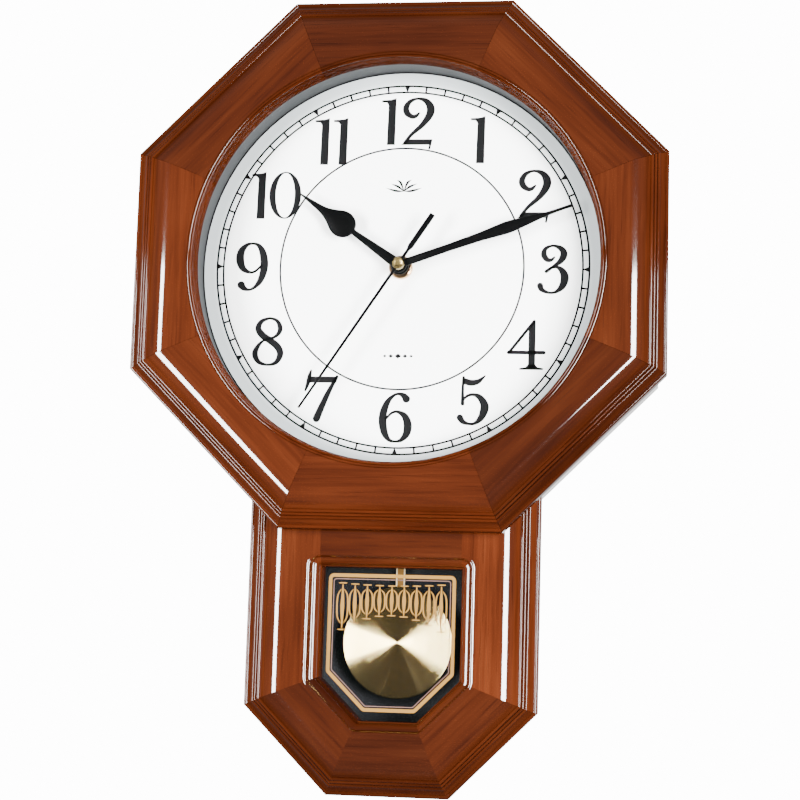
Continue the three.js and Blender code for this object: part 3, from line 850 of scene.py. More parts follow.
@dataclass
class Bezel:
    """The eight mitred rails of the head, with the round opening and its beads."""

    layout: Layout
    sides: int = 8
    steps: int = 30
    joint: float = 0.0005
    seat_gap: float = 0.2 * MM
    names: tuple[str, ...] = (
        "top", "upper_right", "right", "lower_right", "bottom", "lower_left", "left", "upper_left",
    )
    # Painted light and shade with each board's own tone: rails facing the side lamps are lightened, the top
    # and lower right rails darkened.
    light_and_tones: tuple[float, ...] = (0.75, 0.95, 1.12, 0.76, 1.22, 1.27, 1.38, 0.92)
    bare_radius: float = 122.2 * MM
    bare_height: float = 9.5 * MM

    def opening_section(self) -> list[Flat]:
        """Draws the two beads and the cove round the opening.

        Returns:
            Radius and height above the rim, from the field inwards.
        """
        points = [(125.6, 13.85), (125.1, 13.75), (124.9, 13.2)]
        points += arc((124.1, 13.2), 0.75, 0, 180, 8)
        points += arc((122.5, 13.0), 0.75, 0, 180, 8)
        points += [(121.7, 12.6)]
        points += arc((125.4, 8.1), 4.6, 118, 205, 8)[2:]
        return in_metres([*points, (120.9, 5.7), (120.7, 5.3)])

    def build(self) -> None:
        """Builds the rails."""
        lay = self.layout
        outside = outer_moulding()
        inside = self.opening_section()
        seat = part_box("dial_glass")[1].x + self.seat_gap
        behind = lay.head_back - lay.head_rim
        step_back = lay.head_rim - lay.glass_front
        half = math.pi / self.sides
        for i, name in enumerate(self.names):
            middle = i * 2 * half
            rings = []
            for k in range(self.steps + 1):
                turn = -half + self.joint + (2 * half - 2 * self.joint) * k / self.steps
                stretch = 1 / math.cos(turn)
                section = [((lay.head_radius - u) * stretch, -h) for u, h in outside]
                section += [(r, -h) for r, h in inside]
                section += [(lay.opening, -step_back), (seat, -step_back), (seat, behind)]
                section += [(lay.head_radius * stretch, behind)]
                rings.append([self.point(middle + turn, r, y) for r, y in section])
            shape = Shape()
            shape.loft(rings)
            wood = StainedWood(
                f"wood_head_{name}",
                middle + math.pi / 2,
                seed=1.7 * i + 0.3,
                centre=lay.centre.z,
                light_and_tone=self.light_and_tones[i],
                bare_radius=self.bare_radius,
                bare_depth=self.bare_height - lay.head_rim,
            )
            node = f"bezel_rail_{name}"
            shape.finish(f"head_rail_{name}", CASE, "stained_wood", wood.build(), [node], smooth=28)

    def point(self, turn: float, radius: float, depth: float) -> Vector:
        """Returns a point at a clockwise angle and radius from the dial centre, behind the rim."""
        offset = Vector((radius * math.sin(turn), self.layout.head_rim + depth, radius * math.cos(turn)))
        return self.layout.centre + offset


@dataclass
class DropFrame:
    """The six pieces of the frame round the pendulum window."""

    layout: Layout
    band: float = 8.6 * MM
    field_height: float = 13.75 * MM
    field_steps: int = 12
    bare_height: float = 9.5 * MM
    case_gap: float = 0.3 * MM
    stile_gap: float = 0.02 * MM
    # Painted light and shade with each board's own tone: the stiles facing the side lamps are lightened, the
    # bottom rail darkened.
    light_and_tones: dict[str, float] = field(default_factory=lambda: {
        "drop_stile_right": 1.6,
        "drop_rail_lower_right": 0.95,
        "drop_rail_bottom": 0.68,
        "drop_rail_lower_left": 0.82,
        "drop_stile_left": 1.35,
        "drop_rail_top": 0.95,
    })

    def bead_section(self) -> list[Flat]:
        """Draws the bead round the window.

        Returns:
            Distance out from the opening and height above the rim, from the opening outwards.
        """
        points = [(0.0, 4.5), (0.0, 6.6), (0.25, 7.0), (0.8, 7.0)]
        points += arc((4.9, 6.4), 4.1, 172, 100, 9)
        points += [(4.6, 10.6), (5.1, 11.0), (5.7, 12.4)]
        points += arc((7.1, 12.5), 1.25, 170, 60, 7)
        return in_metres([*points, (8.1, 13.72), (8.6, 13.75)])

    def window(self) -> list[Flat]:
        """Returns the corners of the window opening, clockwise from the upper left."""
        lay = self.layout
        return chamfered(lay.window_half, lay.window_top, lay.window_bottom, lay.window_chamfer)

    def outline(self) -> list[Flat]:
        """Returns the corners of the frame's outer edge, clockwise from the upper left."""
        lay = self.layout
        return chamfered(lay.drop_half, lay.window_top, lay.drop_bottom, lay.drop_chamfer)

    def build(self) -> None:
        """Builds the six pieces."""
        inner, outer = self.window(), self.outline()
        edges = {
            "drop_stile_right": (1, 2, 0.0, 4.1),
            "drop_rail_lower_right": (2, 3, math.radians(225), 5.3),
            "drop_rail_bottom": (3, 4, math.radians(270), 6.1),
            "drop_rail_lower_left": (4, 5, math.radians(315), 7.7),
            "drop_stile_left": (5, 0, 0.0, 8.9),
        }
        for node, (a, b, grain, seed) in edges.items():
            shape = Shape()
            self.add_bead(shape, inner[a], inner[b], start_corner=a, end_corner=b)
            self.add_field(shape, (outer[a], outer[b]), (inner[a], inner[b]))
            if "stile" in node:
                self.add_head_block(shape, 1 if node.endswith("right") else -1)
            self.finish(shape, node, grain, seed)
        shape = Shape()
        self.add_bead(shape, inner[0], inner[1], start_corner=None, end_corner=None)
        top = self.case_edge(0.0)
        low = self.layout.window_top + self.band
        half = self.layout.window_half - self.stile_gap
        self.add_box(shape, (-half, half), (low, top))
        self.finish(shape, "drop_rail_top", math.pi / 2, 9.6)

    def finish(self, shape: Shape, node: str, grain: float, seed: float) -> None:
        """Dresses one piece in wood and puts it in place of its CAD node.

        Args:
            shape: its shape.
            node: the CAD node.
            grain: angle of its grain.
            seed: place of its figure in the noise.
        """
        depth = self.bare_height - self.layout.drop_rim
        wood = StainedWood(f"wood_{node}", grain, seed, light_and_tone=self.light_and_tones[node], bare_depth=depth).build()
        name = node.replace("drop", "window_frame")
        shape.finish(name, CASE, "stained_wood", wood, [node], smooth=28)

    def case_edge(self, x: float) -> float:
        """Finds the head case's lower edge.

        Args:
            x: place across the clock.

        Returns:
            The z of the edge there.
        """
        lay = self.layout
        low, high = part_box("head_case")
        radius = (high.x - low.x) / 2 + self.case_gap
        corner = radius * math.tan(math.pi / 8)
        return lay.centre.z - radius + max(0.0, abs(x) - corner)

    def add_box(self, shape: Shape, across: Flat, up: Flat) -> None:
        """Adds a plain block of frame wood, as thick as the field.

        Args:
            shape: the shape to add to.
            across: its x range.
            up: its z range.
        """
        (x0, x1), (z0, z1) = across, up
        front = self.layout.drop_rim - self.field_height
        shape.plate([(x0, z0), (x1, z0), (x1, z1), (x0, z1)], front, self.layout.drop_back)

    def add_head_block(self, shape: Shape, side: int) -> None:
        """Fills the stile's corner between the bead, the top rail and the head.

        Args:
            shape: the shape to add to.
            side: -1 on the left, 1 on the right.
        """
        half = self.layout.window_half
        across = sorted((side * half, side * (half + self.band)))
        self.add_box(shape, tuple(across), (self.layout.window_top + self.band, self.case_edge(half)))

    def add_bead(
        self, shape: Shape, start: Flat, end: Flat, start_corner: int | None, end_corner: int | None
    ) -> None:
        """Adds the beaded edge along one side of the window, with its share of the round corners.

        Args:
            shape: the shape to add to.
            start: first corner of the opening.
            end: next corner, clockwise.
            start_corner: its number, or None for a square end.
            end_corner: the next corner's number, or None for a square end.
        """
        along = Vector((end[0] - start[0], end[1] - start[1])).normalized()
        out = Vector((-along.y, along.x))
        first = self.corner_share(start_corner, at_start=True)
        last = self.corner_share(end_corner, at_start=False)
        stations = [(Vector(start), -angle) for angle in reversed(first)]
        stations += [(Vector(end), angle) for angle in last]
        section = self.bead_section()
        base = self.layout.drop_back - self.layout.drop_rim
        rings = []
        for corner, angle in stations:
            ring = []
            for distance, height in section:
                square = 1 / max(math.cos(angle), math.sin(abs(angle))) if distance >= self.band else 1.0
                spot = corner + (out * math.cos(angle) + along * math.sin(angle)) * distance * square
                ring.append(Vector((spot.x, self.layout.drop_rim - height, spot.y)))
            ring.append(Vector((ring[-1].x, self.layout.drop_rim + base, ring[-1].z)))
            ring.append(Vector((ring[0].x, self.layout.drop_rim + base, ring[0].z)))
            rings.append(ring)
        shape.loft(rings)

    def corner_share(self, corner: int | None, at_start: bool) -> list[float]:
        """Returns the angles through which a side's bead turns at a corner.

        Args:
            corner: the corner's number, or None for a square end.
            at_start: says that the side starts there; not used.

        Returns:
            Angles from the side's normal, from 0 to the joint.
        """
        if corner is None:
            return [0.0]
        full = math.radians(90 if corner in (0, 1) else 22.5)
        steps = 12 if corner in (0, 1) else 4
        return [full * i / steps for i in range(steps + 1)]

    def add_field(self, shape: Shape, outer: tuple[Flat, Flat], inner: tuple[Flat, Flat]) -> None:
        """Adds the flat field and outer moulding of one side, mitred at its ends.

        Args:
            shape: the shape to add to.
            outer: the outer edge's two corners.
            inner: the opening's two corners.
        """
        a, b = Vector(outer[0]), Vector(outer[1])
        c, d = Vector(inner[0]), Vector(inner[1])
        along = (b - a).normalized()
        inward = Vector((along.y, -along.x))
        width = (c - a).dot(inward)
        base = -(self.layout.drop_back - self.layout.drop_rim)
        edge = width - self.band
        section = [*outer_moulding(), (edge, self.field_height), (edge, base), (0.0, base)]
        rings = []
        for k in range(self.field_steps + 1):
            share = k / self.field_steps
            ring = []
            for distance, height in section:
                t = distance / width
                start = self.under_head(a + (c - a) * t)
                finish = self.under_head(b + (d - b) * t)
                spot = start + (finish - start) * share
                ring.append(Vector((spot.x, self.layout.drop_rim - height, spot.y)))
            rings.append(ring)
        shape.loft(rings)

    def under_head(self, spot: Vector) -> Vector:
        """Runs a stile's upper end up to the head case.

        Args:
            spot: a point of the stile in x and z.

        Returns:
            The point on the head case, or the spot as it is where it isn't at the upper end.
        """
        if spot.y > self.layout.window_top - 1 * MM:
            return Vector((spot.x, self.case_edge(spot.x)))
        return spot


def chamfered(half: float, top: float, bottom: float, leg: float) -> list[Flat]:
    """Returns a tall outline with cut lower corners, clockwise from the upper left."""
    right = [(half, top), (half, bottom + leg), (half - leg, bottom)]
    return [(-half, top), *right, *((-x, z) for x, z in reversed(right[1:]))]


# ---- Dial ----------------------------------------------------------------------------------------

Stroke = list[tuple[float, float, float]]


@dataclass
class Numerals:
    """High-contrast old-style numerals, drawn with a broad pen in units of their height."""

    height: float = 29.6 * MM
    weight: float = 0.013
    zero_rim: Flat = (0.335, 0.5)
    zero_hole: Flat = (0.20, 0.47)

    def strokes(self, digit: int) -> list[Stroke]:
        """Returns the pen strokes of a digit: x, z and half width at each point."""
        table: dict[int, list[Stroke]] = {
            2: [[(.0, .672, .010), (-.067, .612, .028), (-.15, .602, .036), (-.25, .68, .052),
                 (-.272, .80, .050), (-.19, .925, .032), (-.03, .982, .015), (.14, .93, .045),
                 (.235, .79, .072), (.215, .63, .066), (.07, .42, .042), (-.137, .229, .025),
                 (-.28, .05, .022)]],
            3: [[(.008, .745, .008), (-.055, .69, .024), (-.14, .699, .040), (-.205, .80, .048),
                 (-.17, .925, .030), (-.02, .985, .015), (.14, .925, .045), (.20, .81, .062),
                 (.135, .67, .046), (.0, .565, .018), (-.15, .455, .026)],
                [(-.08, .515, .013), (.06, .545, .020), (.175, .46, .055), (.225, .32, .072),
                 (.175, .15, .056), (.05, .035, .022), (-.09, .016, .016), (-.235, .08, .038),
                 (-.27, .16, .052)]],
            4: [[(.055, .985, .018), (-.44, .345, .018)],
                [(-.45, .345, .026), (.26, .345, .026)]],
            5: [[(-.198, .94, .018), (-.17, .89, .050), (-.10, .858, .052), (-.01, .85, .050),
                 (.09, .875, .040), (.165, .93, .022), (.235, .995, .003)],
                [(-.200, .96, .016), (-.212, .70, .017), (-.208, .42, .026)],
                [(-.20, .50, .012), (-.11, .585, .018), (.005, .61, .021), (.13, .56, .046),
                 (.225, .43, .068), (.235, .31, .074), (.165, .135, .052), (.05, .030, .022),
                 (-.065, .014, .016), (-.19, .055, .038), (-.255, .14, .054)]],
            6: [[(.205, .885, .068), (.145, .952, .044), (.033, .985, .016), (-.085, .925, .024),
                 (-.19, .79, .050), (-.255, .59, .066), (-.262, .39, .070), (-.215, .18, .058),
                 (-.12, .045, .028), (.0, .013, .013), (.12, .045, .030), (.225, .17, .062),
                 (.25, .35, .073), (.185, .53, .054), (.04, .618, .020), (-.08, .595, .014),
                 (-.20, .48, .014)]],
            7: [[(-.215, 1.05, .008), (-.245, .93, .030), (-.275, .78, .028), (-.32, .64, .010)],
                [(.325, .93, .018), (.195, .684, .034), (.056, .377, .052), (-.070, .065, .064)]],
            8: [[(.017, .985, .014), (-.15, .915, .034), (-.215, .765, .052), (-.115, .62, .060),
                 (.036, .52, .058), (.195, .394, .060), (.262, .24, .056), (.18, .065, .034),
                 (.0, .014, .014), (-.185, .075, .034), (-.265, .24, .050), (-.20, .41, .030),
                 (-.07, .528, .012), (.12, .585, .018), (.225, .69, .035), (.235, .81, .040),
                 (.165, .935, .024), (.017, .985, .014)]],
        }
        if digit == 9:
            return [[(-x, 1 - z, w) for x, z, w in stroke] for stroke in table[6]]
        return table.get(digit, [])

    def plates(self, digit: int) -> list[list[Flat]]:
        """Returns the straight-edged parts of a digit."""
        table: dict[int, list[list[Flat]]] = {
            1: [[(-.095, 0), (.075, 0), (.082, 1), (-.02, .965), (-.22, .955), (-.22, .91), (-.12, .905),
                 (-.08, .85)]],
            2: [[(-.36, 0), (-.22, .12), (.295, .12), (.25, -.10), (.208, -.095), (.222, 0)]],
            4: [[(-.055, .02), (.088, .02), (.088, .99), (.06, 1.0), (-.055, .83)],
                [(-.23, -.01), (.25, -.01), (.25, .03), (.14, .045), (.088, .10), (-.055, .10), (-.11, .045),
                 (-.23, .03)]],
            7: [[(-.26, .80), (-.245, .93), (.36, .93), (.31, .80)]],
        }
        return table.get(digit, [])

    def draw(self, shape: Shape, digit: int, spot: Vector, depth: tuple[float, float]) -> None:
        """Adds one digit.

        Args:
            shape: the shape to add to.
            digit: 0 to 9.
            spot: the middle of its foot.
            depth: y of the front and the back of the print.
        """
        def at(x: float, z: float) -> Flat:
            """Returns a place on the dial from one in the digit's units."""
            return (spot.x + x * self.height, spot.z + z * self.height)

        if digit == 0:
            circle = arc((0, 0), 1.0, 0, 357.5, 143)
            ovals = [[at(a * x, 0.5 + b * z) for x, z in circle] for a, b in (self.zero_rim, self.zero_hole)]
            shape.band(*ovals, *depth, closed=True)
        for outline in self.plates(digit):
            shape.plate([at(x, z) for x, z in outline], *depth)
        for stroke in self.strokes(digit):
            heavier = [(x, z, width + self.weight) for x, z, width in stroke]
            left, right = pen_edges(spline(heavier, 6))
            shape.band([at(*p) for p in left], [at(*p) for p in right], *depth)


def pen_edges(line: Sequence[tuple[float, ...]]) -> tuple[list[Flat], list[Flat]]:
    """Returns the two edges of a pen stroke with round ends.

    Args:
        line: points of x, z and half width.

    Returns:
        The left and the right edge.
    """
    left, right = [], []
    last = len(line) - 1
    for i, (x, z, width) in enumerate(line):
        before, after = line[max(0, i - 1)], line[min(last, i + 1)]
        dx, dz = after[0] - before[0], after[1] - before[1]
        length = math.hypot(dx, dz) or 1.0
        ux, uz = dx / length, dz / length
        caps = [0.0]
        if i == 0:
            caps = [-80.0, -60.0, -40.0, -20.0, 0.0]
        elif i == last:
            caps = [0.0, 20.0, 40.0, 60.0, 80.0]
        for cap in caps:
            push = width * math.sin(math.radians(cap))
            half = width * math.cos(math.radians(cap))
            left.append((x + ux * push - uz * half, z + uz * push + ux * half))
            right.append((x + ux * push + uz * half, z + uz * push - ux * half))
    return left, right


@dataclass
class Dial:
    """The dial plate's paint and print, the grey spacer ring and the glass."""

    layout: Layout
    numeral_radius: float = 92.2 * MM
    lean: float = math.radians(0.35)
    track_inner: float = 109.6 * MM
    track_outer: float = 113.5 * MM
    circle_radius: float = 74.3 * MM
    line: float = 1.15 * MM
    edge_radius: float = 122.1 * MM
    arrow_tip: float = 0.15 * MM
    arrow_half: float = 1.7 * MM
    ink: float = 0.04 * MM
    ink_gap: float = 0.002 * MM
    # The paint fades to the painted-shade grey between these two radii.
    white_radius: float = 104 * MM
    shade_radius: float = 117 * MM
    spray_height: float = 49 * MM
    lozenge_drop: float = 54 * MM
    spacer_bore: float = 122.4 * MM
    numerals: Numerals = field(default_factory=Numerals)

    def build(self) -> None:
        """Builds the dial."""
        lay = self.layout
        paint = DialPaint("dial_paint", tuple(lay.centre), self.white_radius, self.shade_radius)
        lay.dress("dial_plate", paint.build())
        lay.dress("dial_glass", ClearGlass("dial_glass_clear").build())
        lay.dress("window_glass", ClearGlass("window_glass_clear").build())
        black, worn = (0.0016, 0.0016, 0.0018), (0.003, 0.003, 0.0033)
        ink = Speckled("dial_ink", black, worn, 0.6, gloss=0.05).build()
        self.print_numerals(ink)
        self.print_track(ink)
        self.print_ornaments(ink)
        self.build_spacer()

    def depth(self) -> tuple[float, float]:
        """Returns y of the front and the back of the print."""
        return (self.layout.dial_front - self.ink, self.layout.dial_front - self.ink_gap)

    def spot(self, turn: float, radius: float) -> Vector:
        """Returns a place on the dial, at a clockwise angle and a radius."""
        turned = turn + self.lean
        return self.layout.centre + Vector((radius * math.sin(turned), 0.0, radius * math.cos(turned)))

    def print_numerals(self, ink: bpy.types.Material) -> None:
        """Prints the hours."""
        shape = Shape()
        size = self.numerals.height
        pairs = {10: ((1, -0.35), (0, 0.145)), 11: ((1, -0.145), (1, 0.242)), 12: ((1, -0.30), (2, 0.26))}
        inset = {10: 2.6 * MM, 11: 1.2 * MM, 12: 0.9 * MM, 6: 0.9 * MM}
        for hour in range(1, 13):
            radius = self.numeral_radius - inset.get(hour, 0.0)
            foot = self.spot(hour * TURN / 12, radius) - Vector((0, 0, size / 2))
            for digit, shift in pairs.get(hour, ((hour, 0.0),)):
                self.numerals.draw(shape, digit, foot + Vector((shift * size, 0, 0)), self.depth())
        shape.finish("dial_numerals", CASE, "dial_white", ink, smooth=20)

    def add_circle(self, shape: Shape, radius: float, width: float) -> None:
        """Adds a printed circle.

        Args:
            shape: the shape to add to.
            radius: radius of the line's middle.
            width: width of the line.
        """
        front, back = self.depth()
        inner, outer = radius - width / 2, radius + width / 2
        profile = [(inner, front), (outer, front), (outer, back), (inner, back)]
        shape.turned(profile, self.layout.centre, 240)

    def print_track(self, ink: bpy.types.Material) -> None:
        """Prints the minute track, its five-minute arrows and the circles."""
        shape = Shape()
        for radius in (self.track_inner, self.track_outer, self.circle_radius, self.edge_radius):
            self.add_circle(shape, radius, self.line)
        for minute in range(60):
            turn = minute * TURN / 60
            if minute % 5:
                self.add_mark(shape, turn, self.line / 2, self.line / 2)
            else:
                self.add_mark(shape, turn, self.arrow_tip, self.arrow_half)
        shape.finish("minute_track", CASE, "dial_white", ink, smooth=20)

    def add_mark(self, shape: Shape, turn: float, inner_half: float, outer_half: float) -> None:
        """Adds a mark across the track.

        Args:
            shape: the shape to add to.
            turn: its clockwise angle.
            inner_half: half its width at the inner line.
            outer_half: half its width at the outer line.
        """
        side = Vector((math.cos(turn), 0.0, -math.sin(turn)))
        near, far = self.spot(turn, self.track_inner), self.spot(turn, self.track_outer)
        low, high = side * inner_half, side * outer_half
        corners = (near - low, near + low, far + high, far - high)
        shape.plate([(corner.x, corner.z) for corner in corners], *self.depth())

    def print_ornaments(self, ink: bpy.types.Material) -> None:
        """Prints a small spray above the hands and a lozenge bar below them."""
        shape = Shape()
        upper = self.spot(0.0, self.spray_height)
        for side in (-1, 1):
            for reach, lift in ((11.0, 0.0), (8.0, 2.6), (4.6, 5.0)):
                bend, tip = (side * reach * 0.45, lift - 1.2, 0.75), (side * reach, lift + 0.6, 0.05)
                left, right = pen_edges(in_metres(spline([(0.0, -1.5, 0.15), bend, tip], 6)))
                shift = [[(upper.x + x, upper.z + z) for x, z in edge] for edge in (left, right)]
                shape.band(*shift, *self.depth())
        lower = self.spot(math.pi, self.lozenge_drop)
        for x, half in ((-8, 0.9), (-4.3, 1.2), (0, 1.6), (4.3, 1.2), (8, 0.9)):
            outline = [(x - 1.3 * half, 0), (x, half), (x + 1.3 * half, 0), (x, -half)]
            shape.plate([(lower.x + a * MM, lower.z + b * MM) for a, b in outline], *self.depth())
        shape.finish("dial_ornaments", CASE, "dial_white", ink, smooth=20)

    def build_spacer(self) -> None:
        """Builds the ring between the dial and its glass, with a step at its front."""
        low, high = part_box("dial_spacer_ring")
        inner, outer = self.spacer_bore, high.x
        lip = inner - 0.5 * MM
        front, back = low.y, high.y
        profile = [
            (lip, front), (outer, front), (outer, back),
            (inner, back), (inner, front + 1.6 * MM), (lip, front + 1.2 * MM),
        ]
        shape = Shape()
        shape.turned(profile, self.layout.centre, 180)
        dark, light = (0.022, 0.0235, 0.025), (0.028, 0.030, 0.032)
        grey = Speckled("spacer_grey", dark, light, 0.55, relief=0.000006, gloss=0.2)
        shape.finish("spacer_ring", CASE, "grey_plastic", grey.build(), ["dial_spacer_ring"], smooth=28)


# ---- Hands ---------------------------------------------------------------------------------------


@dataclass
class Hands:
    """The three hands, the second hand's boss and the fittings under them."""

    layout: Layout
    hour_angle: float = math.radians(305.5)
    minute_angle: float = math.radians(70.6)
    second_angle: float = math.radians(213.3)
    second_depth: float = 1.6 * MM
    blade_thickness: float = 0.6 * MM
    blade_edge: float = 0.12 * MM
    least_bore: float = 0.9 * MM
    nut_bore: float = 4.3 * MM

    def build(self) -> None:
        """Builds the hands."""
        enamel = Enamel("hand_enamel").build()
        hour = spline([(4.8, 3.2), (20, 2.5), (35.4, 1.65)], 4)
        hour += [(35.9, 2.4), (36.5, 4.2), (38, 6), (40.2, 7.4), (42.8, 8.15), (45.2, 8.15), (47.6, 7.5)]
        hour += spline([(50, 6.3), (53, 4.6), (57, 3.0), (62, 2.0), (69, 1.25), (76, 0.5)], 4)
        self.blade("hour_hand", "hour", hour, 5.5, 2.72, self.hour_angle, enamel)
        minute = [(4.2, 2.35), (32, 2.2), (52, 2.65), (67.5, 3.75), (71, 3.65), (93, 1.2)]
        minute += [(98, 1.0), (109, 0.85)]
        self.blade("minute_hand", "minute", minute, 4.8, 1.92, self.minute_angle, enamel)
        second = [(-36.3, 1.7), (-12.8, 1.7), (-10.2, 0.95), (0, 0.95), (60, 0.85), (105, 0.72)]
        self.blade("second_hand", "second", second, 2.4, 0.0, self.second_angle, enamel)
        self.build_boss()
        self.build_nut()

    def blade(
        self,
        node: str,
        body: str,
        stations: Sequence[Flat],
        hub: float,
        bore: float,
        angle: float,
        enamel: bpy.types.Material,
    ) -> None:
        """Builds one flat hand with a hub, turned to its rest angle.

        Args:
            node: the CAD node that it replaces.
            body: the body it rides on.
            stations: distance along the hand and half width, in millimetres.
            hub: radius of its hub in millimetres.
            bore: radius of the hole in its hub in millimetres, or 0.
            angle: clockwise angle from 12 o'clock.
            enamel: its finish.
        """
        low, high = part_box(node)
        front = low.y if bore else high.y - self.second_depth
        back = high.y if bore else front + self.blade_thickness
        shape = Shape()
        edges = [in_metres((side * half, distance) for distance, half in stations) for side in (-1, 1)]
        shape.band(*edges, front, back)
        inner, outer = max(bore * MM, self.least_bore), hub * MM
        shape.turned([(inner, front), (outer, front), (outer, back), (inner, back)], Vector(), 64)
        turn = Matrix.Translation(self.layout.centre) @ Matrix.Rotation(angle, 4, "Y")
        bmesh.ops.transform(shape.mesh, matrix=turn, verts=shape.mesh.verts)
        shape.finish(f"{body}_blade", body, "black_enamel", enamel, [node], smooth=30, bevel=self.blade_edge)

    def build_boss(self) -> None:
        """Builds the brass cap of the second hand."""
        low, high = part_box("second_hand")
        cap = in_metres([(0.0, 0.15), (2.3, 0.15), (2.6, 0.0), (3.1, 0.0), (3.5, 0.35), (3.6, 0.9)])
        profile = [(radius, low.y + depth) for radius, depth in cap]
        profile += [(cap[-1][0], high.y), (0.0, high.y)]
        shape = Shape()
        shape.turned(profile, self.layout.centre, 64, closed=False)
        brass = Metal("boss_brass", (0.36, 0.26, 0.095), 0.26, (1, 1, 1)).build()
        shape.finish("second_boss", "second", "polished_brass", brass, smooth=30)

    def build_nut(self) -> None:
        """Builds the round brass nut on the bush."""
        low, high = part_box("bush_nut")
        radius = (high.x - low.x) / 2
        bore = self.nut_bore
        bright = Metal("nut_brass", (0.60, 0.38, 0.20), 0.2, (1, 1, 1)).build()
        profile = [
            (bore, low.y + 0.3 * MM), (bore + 0.5 * MM, low.y),
            (radius - 1.1 * MM, low.y), (radius - 0.3 * MM, low.y + 0.5 * MM), (radius, low.y + 1.1 * MM),
            (radius, high.y), (bore, high.y),
        ]
        shape = Shape()
        shape.turned(profile, self.layout.centre, 72)
        shape.finish("bush_nut_ring", CASE, "polished_brass", bright, ["bush_nut"], smooth=30)


# ---- Pendulum and its window ---------------------------------------------------------------------


@dataclass
class Pendulum:
    """The brass rod and the turned bob."""

    layout: Layout
    dome: float = 0.8 * MM
    rolled_edge: float = 1.4 * MM
    face_steps: int = 39
    rod_half: float = 2.7 * MM
    rod_lip: float = 0.7 * MM
    lip_height: float = 0.4 * MM
    pin_bore: float = 2.0 * MM

    def build(self) -> None:
        """Builds the pendulum."""
        self.build_bob()
        self.build_rod()

    def build_bob(self) -> None:
        """Builds the bob, slightly domed with a rolled edge."""
        low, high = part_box("pendulum_bob")
        middle = (low + high) / 2
        radius = (high.x - low.x) / 2
        face = radius - self.rolled_edge
        spots = [face * i / self.face_steps for i in range(self.face_steps + 1)]
        profile = [(spot, low.y + self.dome * (spot / radius) ** 2) for spot in spots]
        profile += arc((face, profile[-1][1] + self.rolled_edge), self.rolled_edge, -80, 90, 9)
        profile += [(radius - 3 * MM, high.y), (0.0, high.y)]
        shape = Shape()
        shape.turned(profile, Vector((middle.x, 0.0, middle.z)), 160, closed=False)
        brass = TurnedBrass("bob_brass", (middle.x, 0.0, middle.z)).build()
        shape.finish("bob", "pendulum", "polished_brass", brass, ["pendulum_bob"], smooth=40)

    def build_rod(self) -> None:
        """Builds the flat rod with raised edges, painted bright as a highlight, and its eye."""
        low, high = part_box("pendulum_rod")
        eye = (high.x - low.x) / 2
        pivot = high.z - eye
        half, front, back = self.rod_half, low.y, high.y
        inner, sunk = half - self.rod_lip, front + self.lip_height
        section = [
            (-half, front), (-inner, front), (-inner, sunk), (inner, sunk),
            (inner, front), (half, front), (half, back), (-half, back),
        ]
        shape = Shape()
        tops = (low.z, pivot - eye * 0.85)
        shape.loft([[Vector((x, y, z)) for x, y in section] for z in tops])
        bore = self.pin_bore
        profile = [(bore, front), (eye, front), (eye, back), (bore, back)]
        shape.turned(profile, Vector((0.0, 0.0, pivot)), 48)
        brass = RodBrass("rod_brass", half, self.rod_lip).build()
        shape.finish("rod", "pendulum", "polished_brass", brass, ["pendulum_rod"], smooth=30)


